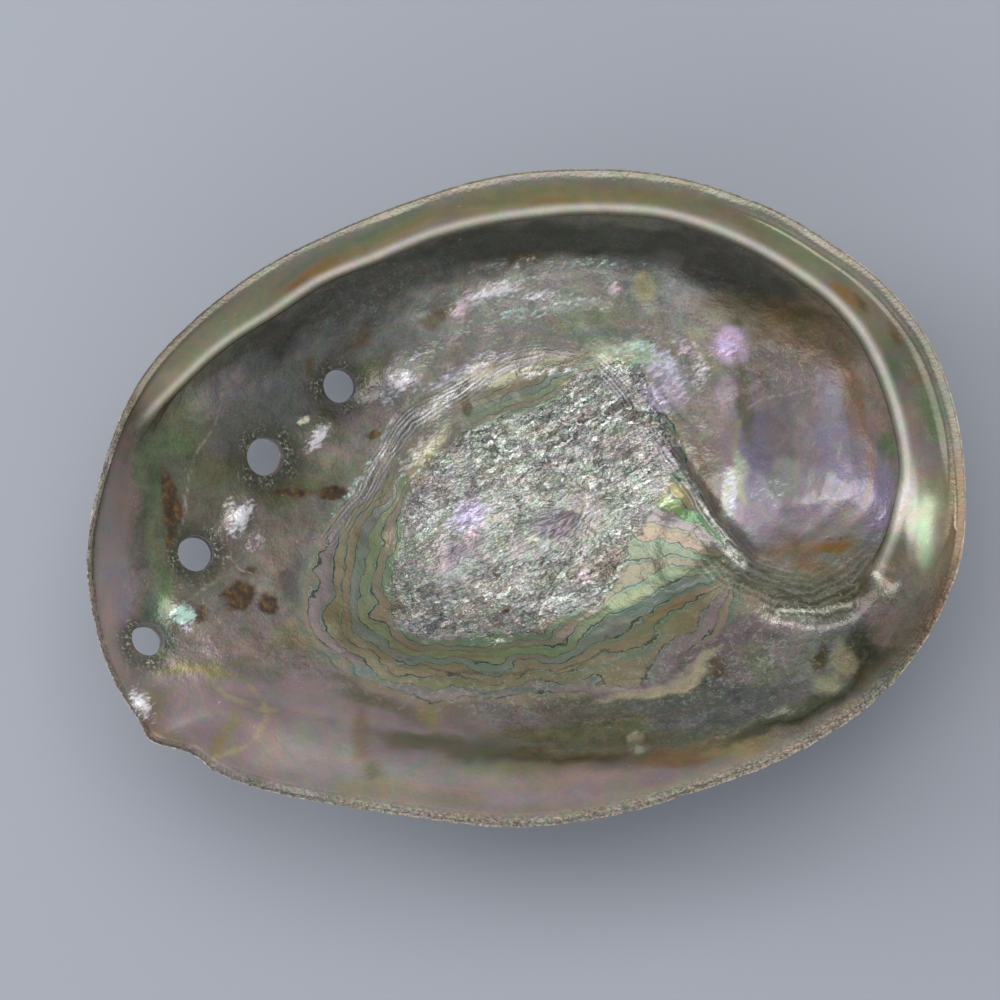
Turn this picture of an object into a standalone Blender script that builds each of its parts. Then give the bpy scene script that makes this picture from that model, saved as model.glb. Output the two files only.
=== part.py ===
"""An abalone shell, lying on its back with its mouth up.

The shell grew as one piece, so it is one solid. Its surface is drawn as rings around the lowest part of the
back. The outer rings climb from there to the rim. The inner rings cross the flat lip, roll round its free
edge, tuck in under it and run down the inside wall to the middle again.

Lengths are written in millimetres and scaled to metres at the end. +X points to the spire end, +Y to the
side with the flat lip, +Z up. The origin is at the middle of the outline, on the surface that the shell
rests on.
"""

import math

import bmesh
import bpy
import numpy as np
from mathutils import Matrix, Vector

# Driving dimensions, in millimetres
METRES = 0.001
WALL = 3.3  # wall in the middle of the bowl
RIM_WALL = 2.1  # wall at the broken growing edge
LIP_ROUND = 1.3  # radius of the rolled free edge of the flat lip
LIP_FALL = 0.36  # how far the flat lip slopes inwards, as a share of its width
LIP_HOLLOW = 3.0  # how far below the free edge's round its underside meets the wall
RIM_TOP = 1.7  # flat top of the rim outside the lip
WORN = 0.7  # how much of the back is worn away flat where the shell rests

HUB = (15.0, 5.0)  # plan position that the rings go round
APEX = (54.0, 8.0)  # plan position of the spire's tip

# How the photograph sees the shell. Some places below are picked from it by eye, in its 1000 by 1000 pixels,
# with how high up each one lies in millimetres.
SIGHT_RISE = 82.0  # how far above level the sight line comes down, in degrees
SIGHT_FAR = 800.0  # from the eye to what it aims at
SIGHT_LENS = 3902.0  # pixels across, for what is as wide as it is far
SIGHT_AIM = (-5.4, -0.9, 44.0)
PICTURE_MIDDLE = 500.0

# Outline of the mouth from above, anticlockwise from the spire end
RIM = [
    (90.2, 0.1), (88.8, 15.5), (83.5, 31.4), (77.3, 40.4), (70.3, 47.4), (63.2, 52.5), (51.5, 59.5),
    (42.1, 63.2), (23.7, 67.5), (9.9, 67.9), (-8.3, 66.0), (-24.3, 61.1), (-40.2, 54.6), (-59.9, 43.5),
    (-69.5, 35.5), (-76.7, 27.8), (-83.0, 17.5), (-88.4, 0.7), (-90.2, -11.2), (-89.6, -20.2),
    (-86.0, -34.5), (-80.2, -44.6), (-71.8, -52.2), (-60.5, -57.9), (-39.2, -63.2),
    (-21.8, -65.8), (-1.7, -67.7), (17.1, -65.4), (37.0, -59.7), (59.1, -50.5), (72.8, -40.7),
    (83.5, -26.9), (89.0, -13.2),
]

# Where the next breathing hole was forming, the edge has a corner and a nick: (angle, half width, depth), in
# degrees and millimetres
NICKS = [(-149.0, 2.0, -1.6), (-145.0, 2.2, 1.3)]

# The line where the inside turns down: the free edge of the flat lip along the top and the spire end, and
# the crease of the flared edge along the rest. Each place is a picked pixel and a height.
TURN_PICKS = [
    (898, 472, 36), (888, 411, 38), (872, 367, 39), (851, 331, 39), (824, 301, 40), (787, 275, 40),
    (720, 239, 41), (654, 220, 41), (609, 217, 41), (553, 218, 42), (509, 223, 42), (455, 234, 42),
    (380, 262, 42), (325, 284, 42), (280, 313, 42), (235, 340, 43), (190, 377, 43), (148, 415, 43),
    (127, 460, 38), (135, 506, 36), (138, 560, 35), (140, 620, 35), (165, 662, 33), (200, 690, 33),
    (270, 715, 32), (350, 735, 32), (430, 748, 32), (506, 756, 32), (622, 751, 32), (729, 730, 31),
    (800, 700, 30), (839, 671, 30), (865, 630, 28), (876, 576, 28), (891, 520, 32),
]

# Values that change round the shell: (angle in degrees, value). 0 is the spire end, 90 the side of the lip.
RIM_HEIGHT = [
    (0, 44.0), (45, 46.0), (90, 47.5), (135, 47.0), (170, 46.0), (200, 43.5), (235, 40.0), (275, 39.0), (320, 41.0),
]
FLARE = [(0, 0.05), (50, 0.0), (110, 0.0), (150, 0.15), (175, 0.7), (215, 1.0), (280, 1.0), (315, 0.8),
         (340, 0.3)]
LIP = [(341, 0.15), (350, 0.75), (5, 1.0), (60, 1.0), (120, 1.0), (155, 1.0), (167, 0.9), (176, 0.0),
       (250, 0.0), (315, 0.0), (332, 0.0)]

# Open breathing holes: the picked place of the inside mouth, bore radius, and how far the outside collar
# stands up. They get smaller and older towards the spire.
HOLE_PICKS = [
    ((340, 388, 10), 3.3, 2.2),
    ((267, 462, 14), 3.7, 2.8),
    ((198, 557, 24), 3.4, 3.2),
    ((149, 641, 34), 3.1, 3.0),
]
COLLAR_WALL = 1.4  # shell around each bore at the tip of its collar
COLLAR_SPREAD = 2.0  # how much wider a collar is at its foot
COLLAR_ROOT = 0.7  # how deep its foot reaches into the wall
BORE_TAPER = 1.2  # how much wider a bore is at its inside mouth
FILLED_HOLES = [(-19.0, 44.0), (2.0, 52.5), (22.0, 54.0), (40.0, 48.0), (55.0, 38.0)]

# Ridges on the inside: the hook that curls round the spire's hollow, and the fold beside the muscle scar
HOOK_PICKS = [
    (909, 500, 38), (898, 545, 34), (875, 580, 30), (847, 598, 26), (815, 606, 23), (780, 603, 20),
    (750, 588, 17), (725, 558, 13),
]
HOOK_HEIGHTS = [0.0, 0.3, 2.0, 4.6, 5.8, 5.0, 3.0, 1.2]
FOLD_PICKS = [
    (745, 555, 11), (718, 518, 10), (697, 490, 9), (674, 458, 9), (658, 424, 9), (640, 389, 10),
    (605, 358, 11),
]
FOLD_HEIGHTS = [2.0, 1.8, 1.6, 1.5, 1.4, 1.0, 0.5]
SCAR_HUB = (0.0, -1.0)
SCAR_PICKS = [
    (365, 475, 11), (400, 430, 10), (480, 380, 9), (560, 355, 9), (620, 372, 9), (655, 425, 8),
    (690, 490, 8), (727, 560, 10), (709, 620, 12), (660, 670, 14), (560, 703, 16), (480, 700, 16),
    (400, 688, 16), (330, 660, 16), (303, 625, 15), (310, 560, 13), (335, 505, 12),
]

# Mesh
SEGMENTS = 84
BACK_RINGS = 15
LIP_RINGS = 4
ROLL_RINGS = 5
BOWL_RINGS = 20
BORE_SIDES = 20


def smooth(x):
    """0 to 1 with level ends."""
    x = np.clip(x, 0.0, 1.0)
    return x * x * (3.0 - 2.0 * x)


def ring_curve(degrees, values):
    """A closed smooth curve through values at those angles, as a function of the angle in radians."""
    turn = 2.0 * math.pi
    at = np.radians(np.asarray(degrees, float)) % turn
    order = np.argsort(at)
    at, values = at[order], np.asarray(values, float)[order]
    at = np.concatenate([at[-2:] - turn, at, at[:2] + turn])
    values = np.concatenate([values[-2:], values, values[:2]])
    slope = np.zeros_like(at)
    slope[1:-1] = (values[2:] - values[:-2]) / (at[2:] - at[:-2])

    def value(angle):
        angle = np.asarray(angle, float) % turn
        i = np.clip(np.searchsorted(at, angle) - 1, 1, len(at) - 3)
        span = at[i + 1] - at[i]
        t = (angle - at[i]) / span
        return (
            values[i] * (1 + 2 * t) * (1 - t) ** 2
            + slope[i] * span * t * (1 - t) ** 2
            + values[i + 1] * t * t * (3 - 2 * t)
            + slope[i + 1] * span * t * t * (t - 1)
        )

    return value


def outline_curve(points, hub):
    """Distance of a closed outline from hub, as a function of the angle in radians."""
    x, y = (np.array(points) - hub).T
    return ring_curve(np.degrees(np.arctan2(y, x)), np.hypot(x, y))


def placed(across, down, height):
    """Plan position of what the photograph shows at a pixel, given how high up it lies."""
    rise = math.radians(SIGHT_RISE)
    ahead = np.array([0.0, math.cos(rise), -math.sin(rise)])
    upward = np.array([0.0, math.sin(rise), math.cos(rise)])
    eye = np.array(SIGHT_AIM) - SIGHT_FAR * ahead
    line = SIGHT_LENS * ahead + (PICTURE_MIDDLE - down) * upward
    line[0] += across - PICTURE_MIDDLE
    spot = eye + line * (height - eye[2]) / line[2]
    return float(spot[0]), float(spot[1])


TURN = [placed(*pick) for pick in TURN_PICKS]
HOOK = [placed(*pick) for pick in HOOK_PICKS]
FOLD = [placed(*pick) for pick in FOLD_PICKS]
SCAR = [placed(*pick) for pick in SCAR_PICKS]
HOLES = [(placed(*pick), radius, height) for pick, radius, height in HOLE_PICKS]

rim_reach = outline_curve(RIM, HUB)
turn_reach = outline_curve(TURN, HUB)
scar_reach = outline_curve(SCAR, SCAR_HUB)
rim_from_apex = outline_curve(RIM, APEX)
rim_height = ring_curve(*zip(*RIM_HEIGHT))
flare = ring_curve(*zip(*FLARE))
lip = ring_curve(*zip(*LIP))


def bump(x, y, centre, radius):
    """A round hill of height 1."""
    return np.exp(-((x - centre[0]) ** 2 + (y - centre[1]) ** 2) / radius**2)


def ridge(x, y, path, heights, width):
    """A ridge along path, with its height given at each point of it."""
    best = np.full(np.shape(x), 1e9)
    height = np.zeros(np.shape(x))
    for (ax, ay), (bx, by), low, high in zip(path, path[1:], heights, heights[1:]):
        dx, dy = bx - ax, by - ay
        t = np.clip(((x - ax) * dx + (y - ay) * dy) / (dx * dx + dy * dy), 0.0, 1.0)
        away = np.hypot(x - ax - t * dx, y - ay - t * dy)
        nearer = away < best
        best = np.where(nearer, away, best)
        height = np.where(nearer, low + (high - low) * t, height)
    return height * np.exp(-((best / width) ** 2))


def back(angle, out):
    """The smooth back, out of 1 of the way from the hub to the rim. Returns points, in the last axis."""
    nick = sum(
        depth * np.exp(-((((np.degrees(angle) - at + 180.0) % 360.0 - 180.0) / half) ** 2))
        for at, half, depth in NICKS
    )
    reach = out * (rim_reach(angle) - nick * smooth((out - 0.85) / 0.15))
    x = HUB[0] + reach * np.cos(angle)
    y = HUB[1] + reach * np.sin(angle)
    flared = np.clip(flare(angle), 0.0, 1.0)
    steep = 0.42 * out**2 + 0.58 * out**12
    wide = 0.52 * out**2 + 0.48 * smooth((out - 0.33) / 0.55)
    z = rim_height(angle) * (flared * wide + (1.0 - flared) * steep)
    spire = 4.2 * np.exp(-(((x - APEX[0]) / 23.0) ** 2) - ((y - APEX[1]) / 25.0) ** 2)
    z = z - spire * (1.0 - smooth((out - 0.7) / 0.3))
    return np.stack([x, y, z], axis=-1)


def outwards(angle, out):
    """Unit normals of the back, pointing out of the shell."""
    step = 1e-3
    out = np.clip(out, 2 * step, 1.0)
    round_way = back(angle + step, out) - back(angle - step, out)
    climb_way = back(angle, out) - back(angle, out - step)
    normal = np.cross(round_way, climb_way)
    return normal / np.linalg.norm(normal, axis=-1, keepdims=True)


def growth(x, y):
    """Size of the shell when its edge lay at this point, as a share of its size now."""
    dx, dy = x - APEX[0], y - APEX[1]
    return np.hypot(dx, dy) / rim_from_apex(np.arctan2(dy, dx))


def back_relief(x, y):
    """How far the back stands out: growth steps, the ridge of old holes, and the groove between whorls."""
    age = growth(x, y)
    steps = 0.55 * np.sin(2.0 * math.pi * 9.0 * age**1.3) * smooth((age - 0.08) / 0.2)
    knobs = sum(1.5 * bump(x, y, centre, 4.5) for centre in FILLED_HOLES)
    path = [centre for centre, _, _ in HOLES[::-1]] + FILLED_HOLES
    shoulder = ridge(x, y, path, [1.0] * len(path), 6.5)
    dx, dy = x - APEX[0], y - APEX[1]
    wound = np.arctan2(dy, dx) + np.log(np.maximum(np.hypot(dx, dy), 0.5) / 34.0) / 0.24
    suture = np.exp(-((np.sin(0.5 * wound) / 0.13) ** 2)) * smooth((40.0 - np.hypot(dx, dy)) / 14.0)
    return steps + knobs + shoulder - 1.1 * suture


def outer_point(angle, out):
    """The outside of the shell, worn flat where it rests."""
    base = back(angle, out)
    free = (1.0 - smooth((out - 0.9) / 0.1)) * smooth((base[..., 2] - 0.4) / 2.5)
    relief = back_relief(base[..., 0], base[..., 1]) * free
    point = base + relief[..., None] * outwards(angle, out)
    point[..., 2] = np.maximum(point[..., 2], WORN)
    return point


def inside_relief(x, y):
    """How far the inside stands up from a plain bowl."""
    away = np.hypot(x - SCAR_HUB[0], y - SCAR_HUB[1])
    within = away / scar_reach(np.arctan2(y - SCAR_HUB[1], x - SCAR_HUB[0]))
    pad = 0.9 * (1.0 - smooth((within - 0.90) / 0.16)) + 0.6 * (1.0 - smooth((within - 0.55) / 0.2))
    hook = ridge(x, y, HOOK, HOOK_HEIGHTS, 3.8)
    fold = ridge(x, y, FOLD, FOLD_HEIGHTS, 2.2)
    path = [(-84.0, -47.0)] + [centre for centre, _, _ in HOLES[::-1]] + FILLED_HOLES[:3]
    channel = ridge(x, y, path, [0.4, 0.6, 0.9, 1.2, 1.2, 1.0, 0.6, 0.2], 6.0)
    funnels = sum(0.5 * bump(x, y, centre, 1.7 * radius) for centre, radius, _ in HOLES)
    return pad + hook + fold - channel - funnels


def inside(angle, out, wall):
    """The inside of the bowl, a wall's thickness in from the back."""
    point = back(angle, out) - wall[..., None] * outwards(angle, out)
    point[..., 2] += inside_relief(point[..., 0], point[..., 1]) * (1.0 - smooth((out - 0.93) / 0.07))
    return point


def wall_at(out):
    """Thickness of the wall, which thins towards the rim."""
    return WALL + (RIM_WALL - WALL) * smooth((out - 0.55) / 0.45)


def rings():
    """Every ring from the middle of the back to the middle of the inside, and the two middles' points."""
    angle = np.arange(SEGMENTS) * 2.0 * math.pi / SEGMENTS
    full = np.ones(SEGMENTS)
    found = []

    # Outside, closer together where the wall gets steep
    for step in np.linspace(0.0, 1.0, BACK_RINGS + 1)[1:]:
        out = 1.0 - (1.0 - step) ** 1.35
        found.append(outer_point(angle, full * out))

    rim = back(angle, full)
    turn = turn_reach(angle) / rim_reach(angle)
    has_lip = np.clip(lip(angle), 0.0, 1.0)
    lip_width = (1.0 - turn) * rim_reach(angle)
    direction = np.stack([np.cos(angle), np.sin(angle), 0.0 * angle], axis=-1)
    edge_z = rim[:, 2] - LIP_FALL * lip_width

    # The flat lip, or the flared inside of the growing edge where there is none
    top = np.clip(RIM_TOP / lip_width, 0.0, 0.4)
    for step in np.linspace(0.0, 1.0, LIP_RINGS + 1):
        share = top + (1.0 - top) * step
        on_lip = rim - direction * (lip_width * share)[:, None]
        on_lip[:, 2] = rim[:, 2] + 0.25 - LIP_FALL * lip_width * (0.7 * share + 0.3 * share**2)
        out = 1.0 - (1.0 - turn) * step
        on_wall = inside(angle, out, wall_at(out))
        found.append(on_lip * has_lip[:, None] + on_wall * (1.0 - has_lip)[:, None])

    # The rolled free edge, and the hollow under it
    heights = np.linspace(0.0, 1.0, 101)
    under = edge_z - 2.0 * LIP_ROUND - LIP_HOLLOW
    profile = back(angle[None, :], heights[:, None] * full)[..., 2]
    root = np.array([np.interp(under[i], profile[:, i], heights) for i in range(SEGMENTS)])
    below = turn - 0.03
    root_out = below + (np.minimum(root, 0.97) - below) * smooth(has_lip)
    foot = inside(angle, root_out, wall_at(root_out))
    edge = rim - direction * (lip_width - LIP_ROUND)[:, None]
    edge[:, 2] = edge_z - LIP_ROUND + 0.25
    for step in np.linspace(0.0, 1.0, ROLL_RINGS + 1)[1:-1]:
        around = math.radians(60.0 - 150.0 * min(step / 0.6, 1.0))
        rolled = edge - direction * (LIP_ROUND * math.cos(around))
        rolled[:, 2] = edge[:, 2] + LIP_ROUND * math.sin(around)
        late = smooth((step - 0.5) / 0.5)
        rolled = rolled * (1.0 - late) + foot * late
        out = turn - 0.03 * step
        on_wall = inside(angle, out, wall_at(out))
        found.append(rolled * has_lip[:, None] + on_wall * (1.0 - has_lip)[:, None])

    # The bowl
    for step in np.linspace(0.0, 1.0, BOWL_RINGS + 1)[:-1]:
        out = root_out * (1.0 - step)
        found.append(inside(angle, out, wall_at(out)))

    bottom = outer_point(np.zeros(1), np.zeros(1))[0]
    middle = inside(np.zeros(1), np.full(1, 2e-3), np.full(1, WALL))[0]
    return found, bottom, middle


def middle_of_outline():
    """The middle of the outline from above."""
    around = back(np.arange(SEGMENTS) * 2.0 * math.pi / SEGMENTS, np.ones(SEGMENTS))
    return 0.5 * (around.min(axis=0) + around.max(axis=0))


MIDDLE = middle_of_outline()


def on_table(place):
    """A point in metres from the origin, with the worn flat of the back at height 0."""
    return Vector((place[0] - MIDDLE[0], place[1] - MIDDLE[1], place[2] - WORN)) * METRES


def shell_body():
    """A UV sphere whose south half is drawn into the back and whose north half is pushed in as the inside."""
    found, bottom, middle = rings()
    rows = len(found) + 1
    shell = bpy.data.meshes.new("shell")
    bm = bmesh.new()
    bmesh.ops.create_uvsphere(bm, u_segments=SEGMENTS, v_segments=rows, radius=1.0)
    for vert in bm.verts:
        x, y, z = vert.co
        row = round((math.asin(max(-1.0, min(1.0, z))) / math.pi + 0.5) * rows)
        if row == 0:
            place = bottom
        elif row == rows:
            place = middle
        else:
            segment = round(math.atan2(y, x) / (2.0 * math.pi) * SEGMENTS) % SEGMENTS
            place = found[row - 1][segment]
        vert.co = on_table(place)
    bmesh.ops.triangulate(bm, faces=bm.faces)
    bmesh.ops.recalc_face_normals(bm, faces=bm.faces)
    bm.to_mesh(shell)
    bm.free()
    body = bpy.data.objects.new("shell", shell)
    bpy.context.scene.collection.objects.link(body)
    return body


def turned(bm, centre, axis, low, high, low_radius, high_radius):
    """Adds a cone along axis, between low and high millimetres from centre."""
    made = bmesh.ops.create_cone(
        bm,
        cap_ends=True,
        segments=BORE_SIDES,
        radius1=low_radius * METRES,
        radius2=high_radius * METRES,
        depth=(high - low) * METRES,
    )
    lean = axis.to_track_quat("Z", "Y").to_matrix().to_4x4()
    middle = Matrix.Translation(centre + axis * 0.5 * (low + high) * METRES)
    bmesh.ops.transform(bm, matrix=middle @ lean, verts=made["verts"])


def tool(name, bm):
    """A guide object, which only shapes the shell."""
    mesh = bpy.data.meshes.new(name)
    bm.to_mesh(mesh)
    bm.free()
    guide = bpy.data.objects.new(name, mesh)
    guide.hide_render = True
    guide.display_type = "WIRE"
    bpy.context.scene.collection.objects.link(guide)
    return guide


def breathing_holes(body):
    """Joins a low collar to the back round each breathing hole, and bores the holes."""
    collars = bmesh.new()
    bores = bmesh.new()
    for (x, y), radius, height in HOLES:
        dx, dy = x - HUB[0], y - HUB[1]
        angle = np.array([math.atan2(dy, dx)])
        out = math.hypot(dx, dy) / rim_reach(angle)
        centre = on_table(back(angle, out)[0])
        axis = Vector(outwards(angle, out)[0])
        tip = radius + COLLAR_WALL
        turned(collars, centre, axis, -COLLAR_ROOT, height, tip + COLLAR_SPREAD, tip)
        turned(bores, centre, axis, -WALL - 6.0, height + 2.0, radius + BORE_TAPER, radius)
    for name, bm, operation in (("collars", collars, "UNION"), ("bores", bores, "DIFFERENCE")):
        step = body.modifiers.new(name, "BOOLEAN")
        step.object = tool(name, bm)
        step.operation = operation
        step.solver = "EXACT"


def nacre():
    """Silvery green mother of pearl."""
    finish = bpy.data.materials.new("nacre")
    finish.use_nodes = True
    shader = finish.node_tree.nodes["Principled BSDF"]
    shader.inputs["Base Color"].default_value = (0.40, 0.42, 0.38, 1.0)
    shader.inputs["Roughness"].default_value = 0.3
    shader.inputs["Metallic"].default_value = 0.3
    shader.inputs["Coat Weight"].default_value = 0.3
    return finish


def main():
    for old in list(bpy.data.objects):
        bpy.data.objects.remove(old)
    body = shell_body()
    body.data.materials.append(nacre())
    body.data.shade_smooth()
    breathing_holes(body)


main()
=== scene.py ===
"""An abalone shell lying on its back with its mouth up, seen from above."""

import math

import bpy
import numpy as np
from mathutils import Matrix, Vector, noise
from mathutils.kdtree import KDTree


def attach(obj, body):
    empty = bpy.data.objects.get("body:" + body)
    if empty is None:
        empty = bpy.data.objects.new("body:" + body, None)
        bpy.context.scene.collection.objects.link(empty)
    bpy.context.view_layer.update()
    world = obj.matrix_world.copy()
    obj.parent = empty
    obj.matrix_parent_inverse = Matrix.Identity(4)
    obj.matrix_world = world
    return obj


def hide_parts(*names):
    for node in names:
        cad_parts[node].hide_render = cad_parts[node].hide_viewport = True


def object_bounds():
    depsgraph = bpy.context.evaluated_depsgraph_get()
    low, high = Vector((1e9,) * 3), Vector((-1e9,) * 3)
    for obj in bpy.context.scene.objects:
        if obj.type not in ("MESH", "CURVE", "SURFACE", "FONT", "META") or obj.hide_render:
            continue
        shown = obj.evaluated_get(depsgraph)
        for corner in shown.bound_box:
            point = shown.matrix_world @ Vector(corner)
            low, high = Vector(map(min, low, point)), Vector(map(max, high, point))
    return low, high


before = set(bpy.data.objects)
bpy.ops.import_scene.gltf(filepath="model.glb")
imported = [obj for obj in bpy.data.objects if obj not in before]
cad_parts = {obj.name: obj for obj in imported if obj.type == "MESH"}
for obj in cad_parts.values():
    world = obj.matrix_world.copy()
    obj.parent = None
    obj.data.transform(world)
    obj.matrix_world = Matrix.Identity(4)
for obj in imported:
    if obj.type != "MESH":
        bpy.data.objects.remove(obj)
cad_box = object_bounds()

# The shell's form. It grew as one piece: a convex back, a growing edge that flares along one long side, and a
# flat inner lip along the other that curls into the hook round the spire's hollow. It is drawn as rings round
# the lowest part of the back, in millimetres, as the solid is.
METRES = 0.001
WALL = 3.3
RIM_WALL = 2.1
LIP_ROUND = 1.3
LIP_FALL = 0.36
LIP_HOLLOW = 3.0
RIM_TOP = 1.7
WORN = 0.7
HUB = (15.0, 5.0)
APEX = (54.0, 8.0)

# The camera stands well back and nearly overhead. Names that end in _PICKS hold pixels of the photograph,
# each with a height in millimetres. What is painted is in such pixels too.
SIGHT_CLIMB = math.radians(82.0)
SIGHT_DISTANCE = 800.0
SIGHT_TARGET = np.array([-5.4, -0.9, 44.0])
SIGHT_LENS = 140.5
SIGHT_PIXELS = 3902.0
PICTURE_MIDDLE = 500.0
forward = np.array([0.0, math.cos(SIGHT_CLIMB), -math.sin(SIGHT_CLIMB)])
upward = np.array([0.0, math.sin(SIGHT_CLIMB), math.cos(SIGHT_CLIMB)])
eye = SIGHT_TARGET - SIGHT_DISTANCE * forward

RIM = [
    (90.2, 0.1), (88.8, 15.5), (83.5, 31.4), (77.3, 40.4), (70.3, 47.4), (63.2, 52.5), (51.5, 59.5),
    (42.1, 63.2), (23.7, 67.5), (9.9, 67.9), (-8.3, 66.0), (-24.3, 61.1), (-40.2, 54.6), (-59.9, 43.5),
    (-69.5, 35.5), (-76.7, 27.8), (-83.0, 17.5), (-88.4, 0.7), (-90.2, -11.2), (-89.6, -20.2),
    (-86.0, -34.5), (-80.2, -44.6), (-71.8, -52.2), (-60.5, -57.9), (-39.2, -63.2), (-21.8, -65.8),
    (-1.7, -67.7), (17.1, -65.4), (37.0, -59.7), (59.1, -50.5), (72.8, -40.7), (83.5, -26.9),
    (89.0, -13.2),
]
NICKS = [(-149.0, 2.0, -1.6), (-145.0, 2.2, 1.3)]
TURN_PICKS = [
    (898, 472, 36), (888, 411, 38), (872, 367, 39), (851, 331, 39), (824, 301, 40), (787, 275, 40),
    (720, 239, 41), (654, 220, 41), (609, 217, 41), (553, 218, 42), (509, 223, 42), (455, 234, 42),
    (380, 262, 42), (325, 284, 42), (280, 313, 42), (235, 340, 43), (190, 377, 43), (148, 415, 43),
    (127, 460, 38), (135, 506, 36), (138, 560, 35), (140, 620, 35), (165, 662, 33), (200, 690, 33),
    (270, 715, 32), (350, 735, 32), (430, 748, 32), (506, 756, 32), (622, 751, 32), (729, 730, 31),
    (800, 700, 30), (839, 671, 30), (865, 630, 28), (876, 576, 28), (891, 520, 32),
]
RIM_HEIGHT = [
    (0, 44.0), (45, 46.0), (90, 47.5), (135, 47.0), (170, 46.0), (200, 43.5), (235, 40.0), (275, 39.0),
    (320, 41.0),
]
FLARE = [
    (0, 0.05), (50, 0.0), (110, 0.0), (150, 0.15), (175, 0.7), (215, 1.0), (280, 1.0), (315, 0.8),
    (340, 0.3),
]
LIP = [(341, 0.15), (350, 0.75), (5, 1.0), (60, 1.0), (120, 1.0), (155, 1.0), (167, 0.9), (176, 0.0),
       (250, 0.0), (315, 0.0), (332, 0.0)]
HOLE_PICKS = [
    ((340, 388, 10), 3.3, 2.2),
    ((267, 462, 14), 3.7, 2.8),
    ((198, 557, 24), 3.4, 3.2),
    ((149, 641, 34), 3.1, 3.0),
]
COLLAR_WALL = 1.4
COLLAR_SPREAD = 2.4
FILLED_HOLES = [(-19.0, 44.0), (2.0, 52.5), (22.0, 54.0), (40.0, 48.0), (55.0, 38.0)]
HOOK_PICKS = [
    (909, 500, 38), (898, 545, 34), (875, 580, 30), (847, 598, 26), (815, 606, 23), (780, 603, 20),
    (750, 588, 17), (725, 558, 13),
]
HOOK_HEIGHTS = [0.0, 0.3, 2.0, 4.6, 5.8, 5.0, 3.0, 1.2]
FOLD_PICKS = [
    (745, 555, 11), (718, 518, 10), (697, 490, 9), (674, 458, 9), (658, 424, 9), (640, 389, 10),
    (605, 358, 11),
]
FOLD_HEIGHTS = [2.0, 1.8, 1.6, 1.5, 1.4, 1.0, 0.5]
SCAR_HUB = (0.0, -1.0)
SCAR_PICKS = [
    (365, 475, 11), (400, 430, 10), (480, 380, 9), (560, 355, 9), (620, 372, 9), (655, 425, 8),
    (690, 490, 8), (727, 560, 10), (709, 620, 12), (660, 670, 14), (560, 703, 16), (480, 700, 16),
    (400, 688, 16), (330, 660, 16), (303, 625, 15), (310, 560, 13), (335, 505, 12),
]


def smooth(x):
    """0 to 1 with level ends."""
    x = np.clip(x, 0.0, 1.0)
    return x * x * (3.0 - 2.0 * x)


def ring_curve(degrees, values):
    """A closed smooth curve through values at those angles, as a function of the angle in radians."""
    turn = 2.0 * math.pi
    at = np.radians(np.asarray(degrees, float)) % turn
    order = np.argsort(at)
    at, values = at[order], np.asarray(values, float)[order]
    at = np.concatenate([at[-2:] - turn, at, at[:2] + turn])
    values = np.concatenate([values[-2:], values, values[:2]])
    slope = np.zeros_like(at)
    slope[1:-1] = (values[2:] - values[:-2]) / (at[2:] - at[:-2])

    def value(angle):
        angle = np.asarray(angle, float) % turn
        i = np.clip(np.searchsorted(at, angle) - 1, 1, len(at) - 3)
        span = at[i + 1] - at[i]
        t = (angle - at[i]) / span
        return (
            values[i] * (1 + 2 * t) * (1 - t) ** 2
            + slope[i] * span * t * (1 - t) ** 2
            + values[i + 1] * t * t * (3 - 2 * t)
            + slope[i + 1] * span * t * t * (t - 1)
        )

    return value


def outline_curve(points, hub):
    """Distance of a closed outline from hub, as a function of the angle in radians."""
    x, y = (np.array(points) - hub).T
    return ring_curve(np.degrees(np.arctan2(y, x)), np.hypot(x, y))


def share_of(outline, hub, x, y):
    """How far out from hub a place lies, as a share of the outline's reach there."""
    dx, dy = x - hub[0], y - hub[1]
    return np.hypot(dx, dy) / outline(np.arctan2(dy, dx))


def bump(x, y, centre, radius):
    """A round hill of height 1."""
    return np.exp(-((x - centre[0]) ** 2 + (y - centre[1]) ** 2) / radius**2)


def along_path(x, y, path, heights):
    """Distance from a path, and the value that the path has at its nearest point."""
    best = np.full(np.shape(x), 1e9)
    value = np.zeros(np.shape(x))
    for (ax, ay), (bx, by), low, high in zip(path, path[1:], heights, heights[1:]):
        dx, dy = bx - ax, by - ay
        t = np.clip(((x - ax) * dx + (y - ay) * dy) / (dx * dx + dy * dy), 0.0, 1.0)
        away = np.hypot(x - ax - t * dx, y - ay - t * dy)
        nearer = away < best
        best = np.where(nearer, away, best)
        value = np.where(nearer, low + (high - low) * t, value)
    return best, value


def ridge(x, y, path, heights, width):
    """A ridge along path, with its height given at each point of it."""
    away, height = along_path(x, y, path, heights)
    return height * np.exp(-((away / width) ** 2))


def placed(across, down, height):
    """Plan position of what the photograph shows at a pixel, given how high up it lies."""
    line = SIGHT_PIXELS * forward + (PICTURE_MIDDLE - down) * upward
    line[0] += across - PICTURE_MIDDLE
    spot = eye + line * (height - eye[2]) / line[2]
    return float(spot[0]), float(spot[1])


TURN = [placed(*pick) for pick in TURN_PICKS]
HOOK = [placed(*pick) for pick in HOOK_PICKS]
FOLD = [placed(*pick) for pick in FOLD_PICKS]
SCAR = [placed(*pick) for pick in SCAR_PICKS]
HOLES = [(placed(*pick), radius, height) for pick, radius, height in HOLE_PICKS]

rim_reach = outline_curve(RIM, HUB)
turn_reach = outline_curve(TURN, HUB)
scar_reach = outline_curve(SCAR, SCAR_HUB)
rim_from_apex = outline_curve(RIM, APEX)
rim_height = ring_curve(*zip(*RIM_HEIGHT))
flare = ring_curve(*zip(*FLARE))
lip = ring_curve(*zip(*LIP))


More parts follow.
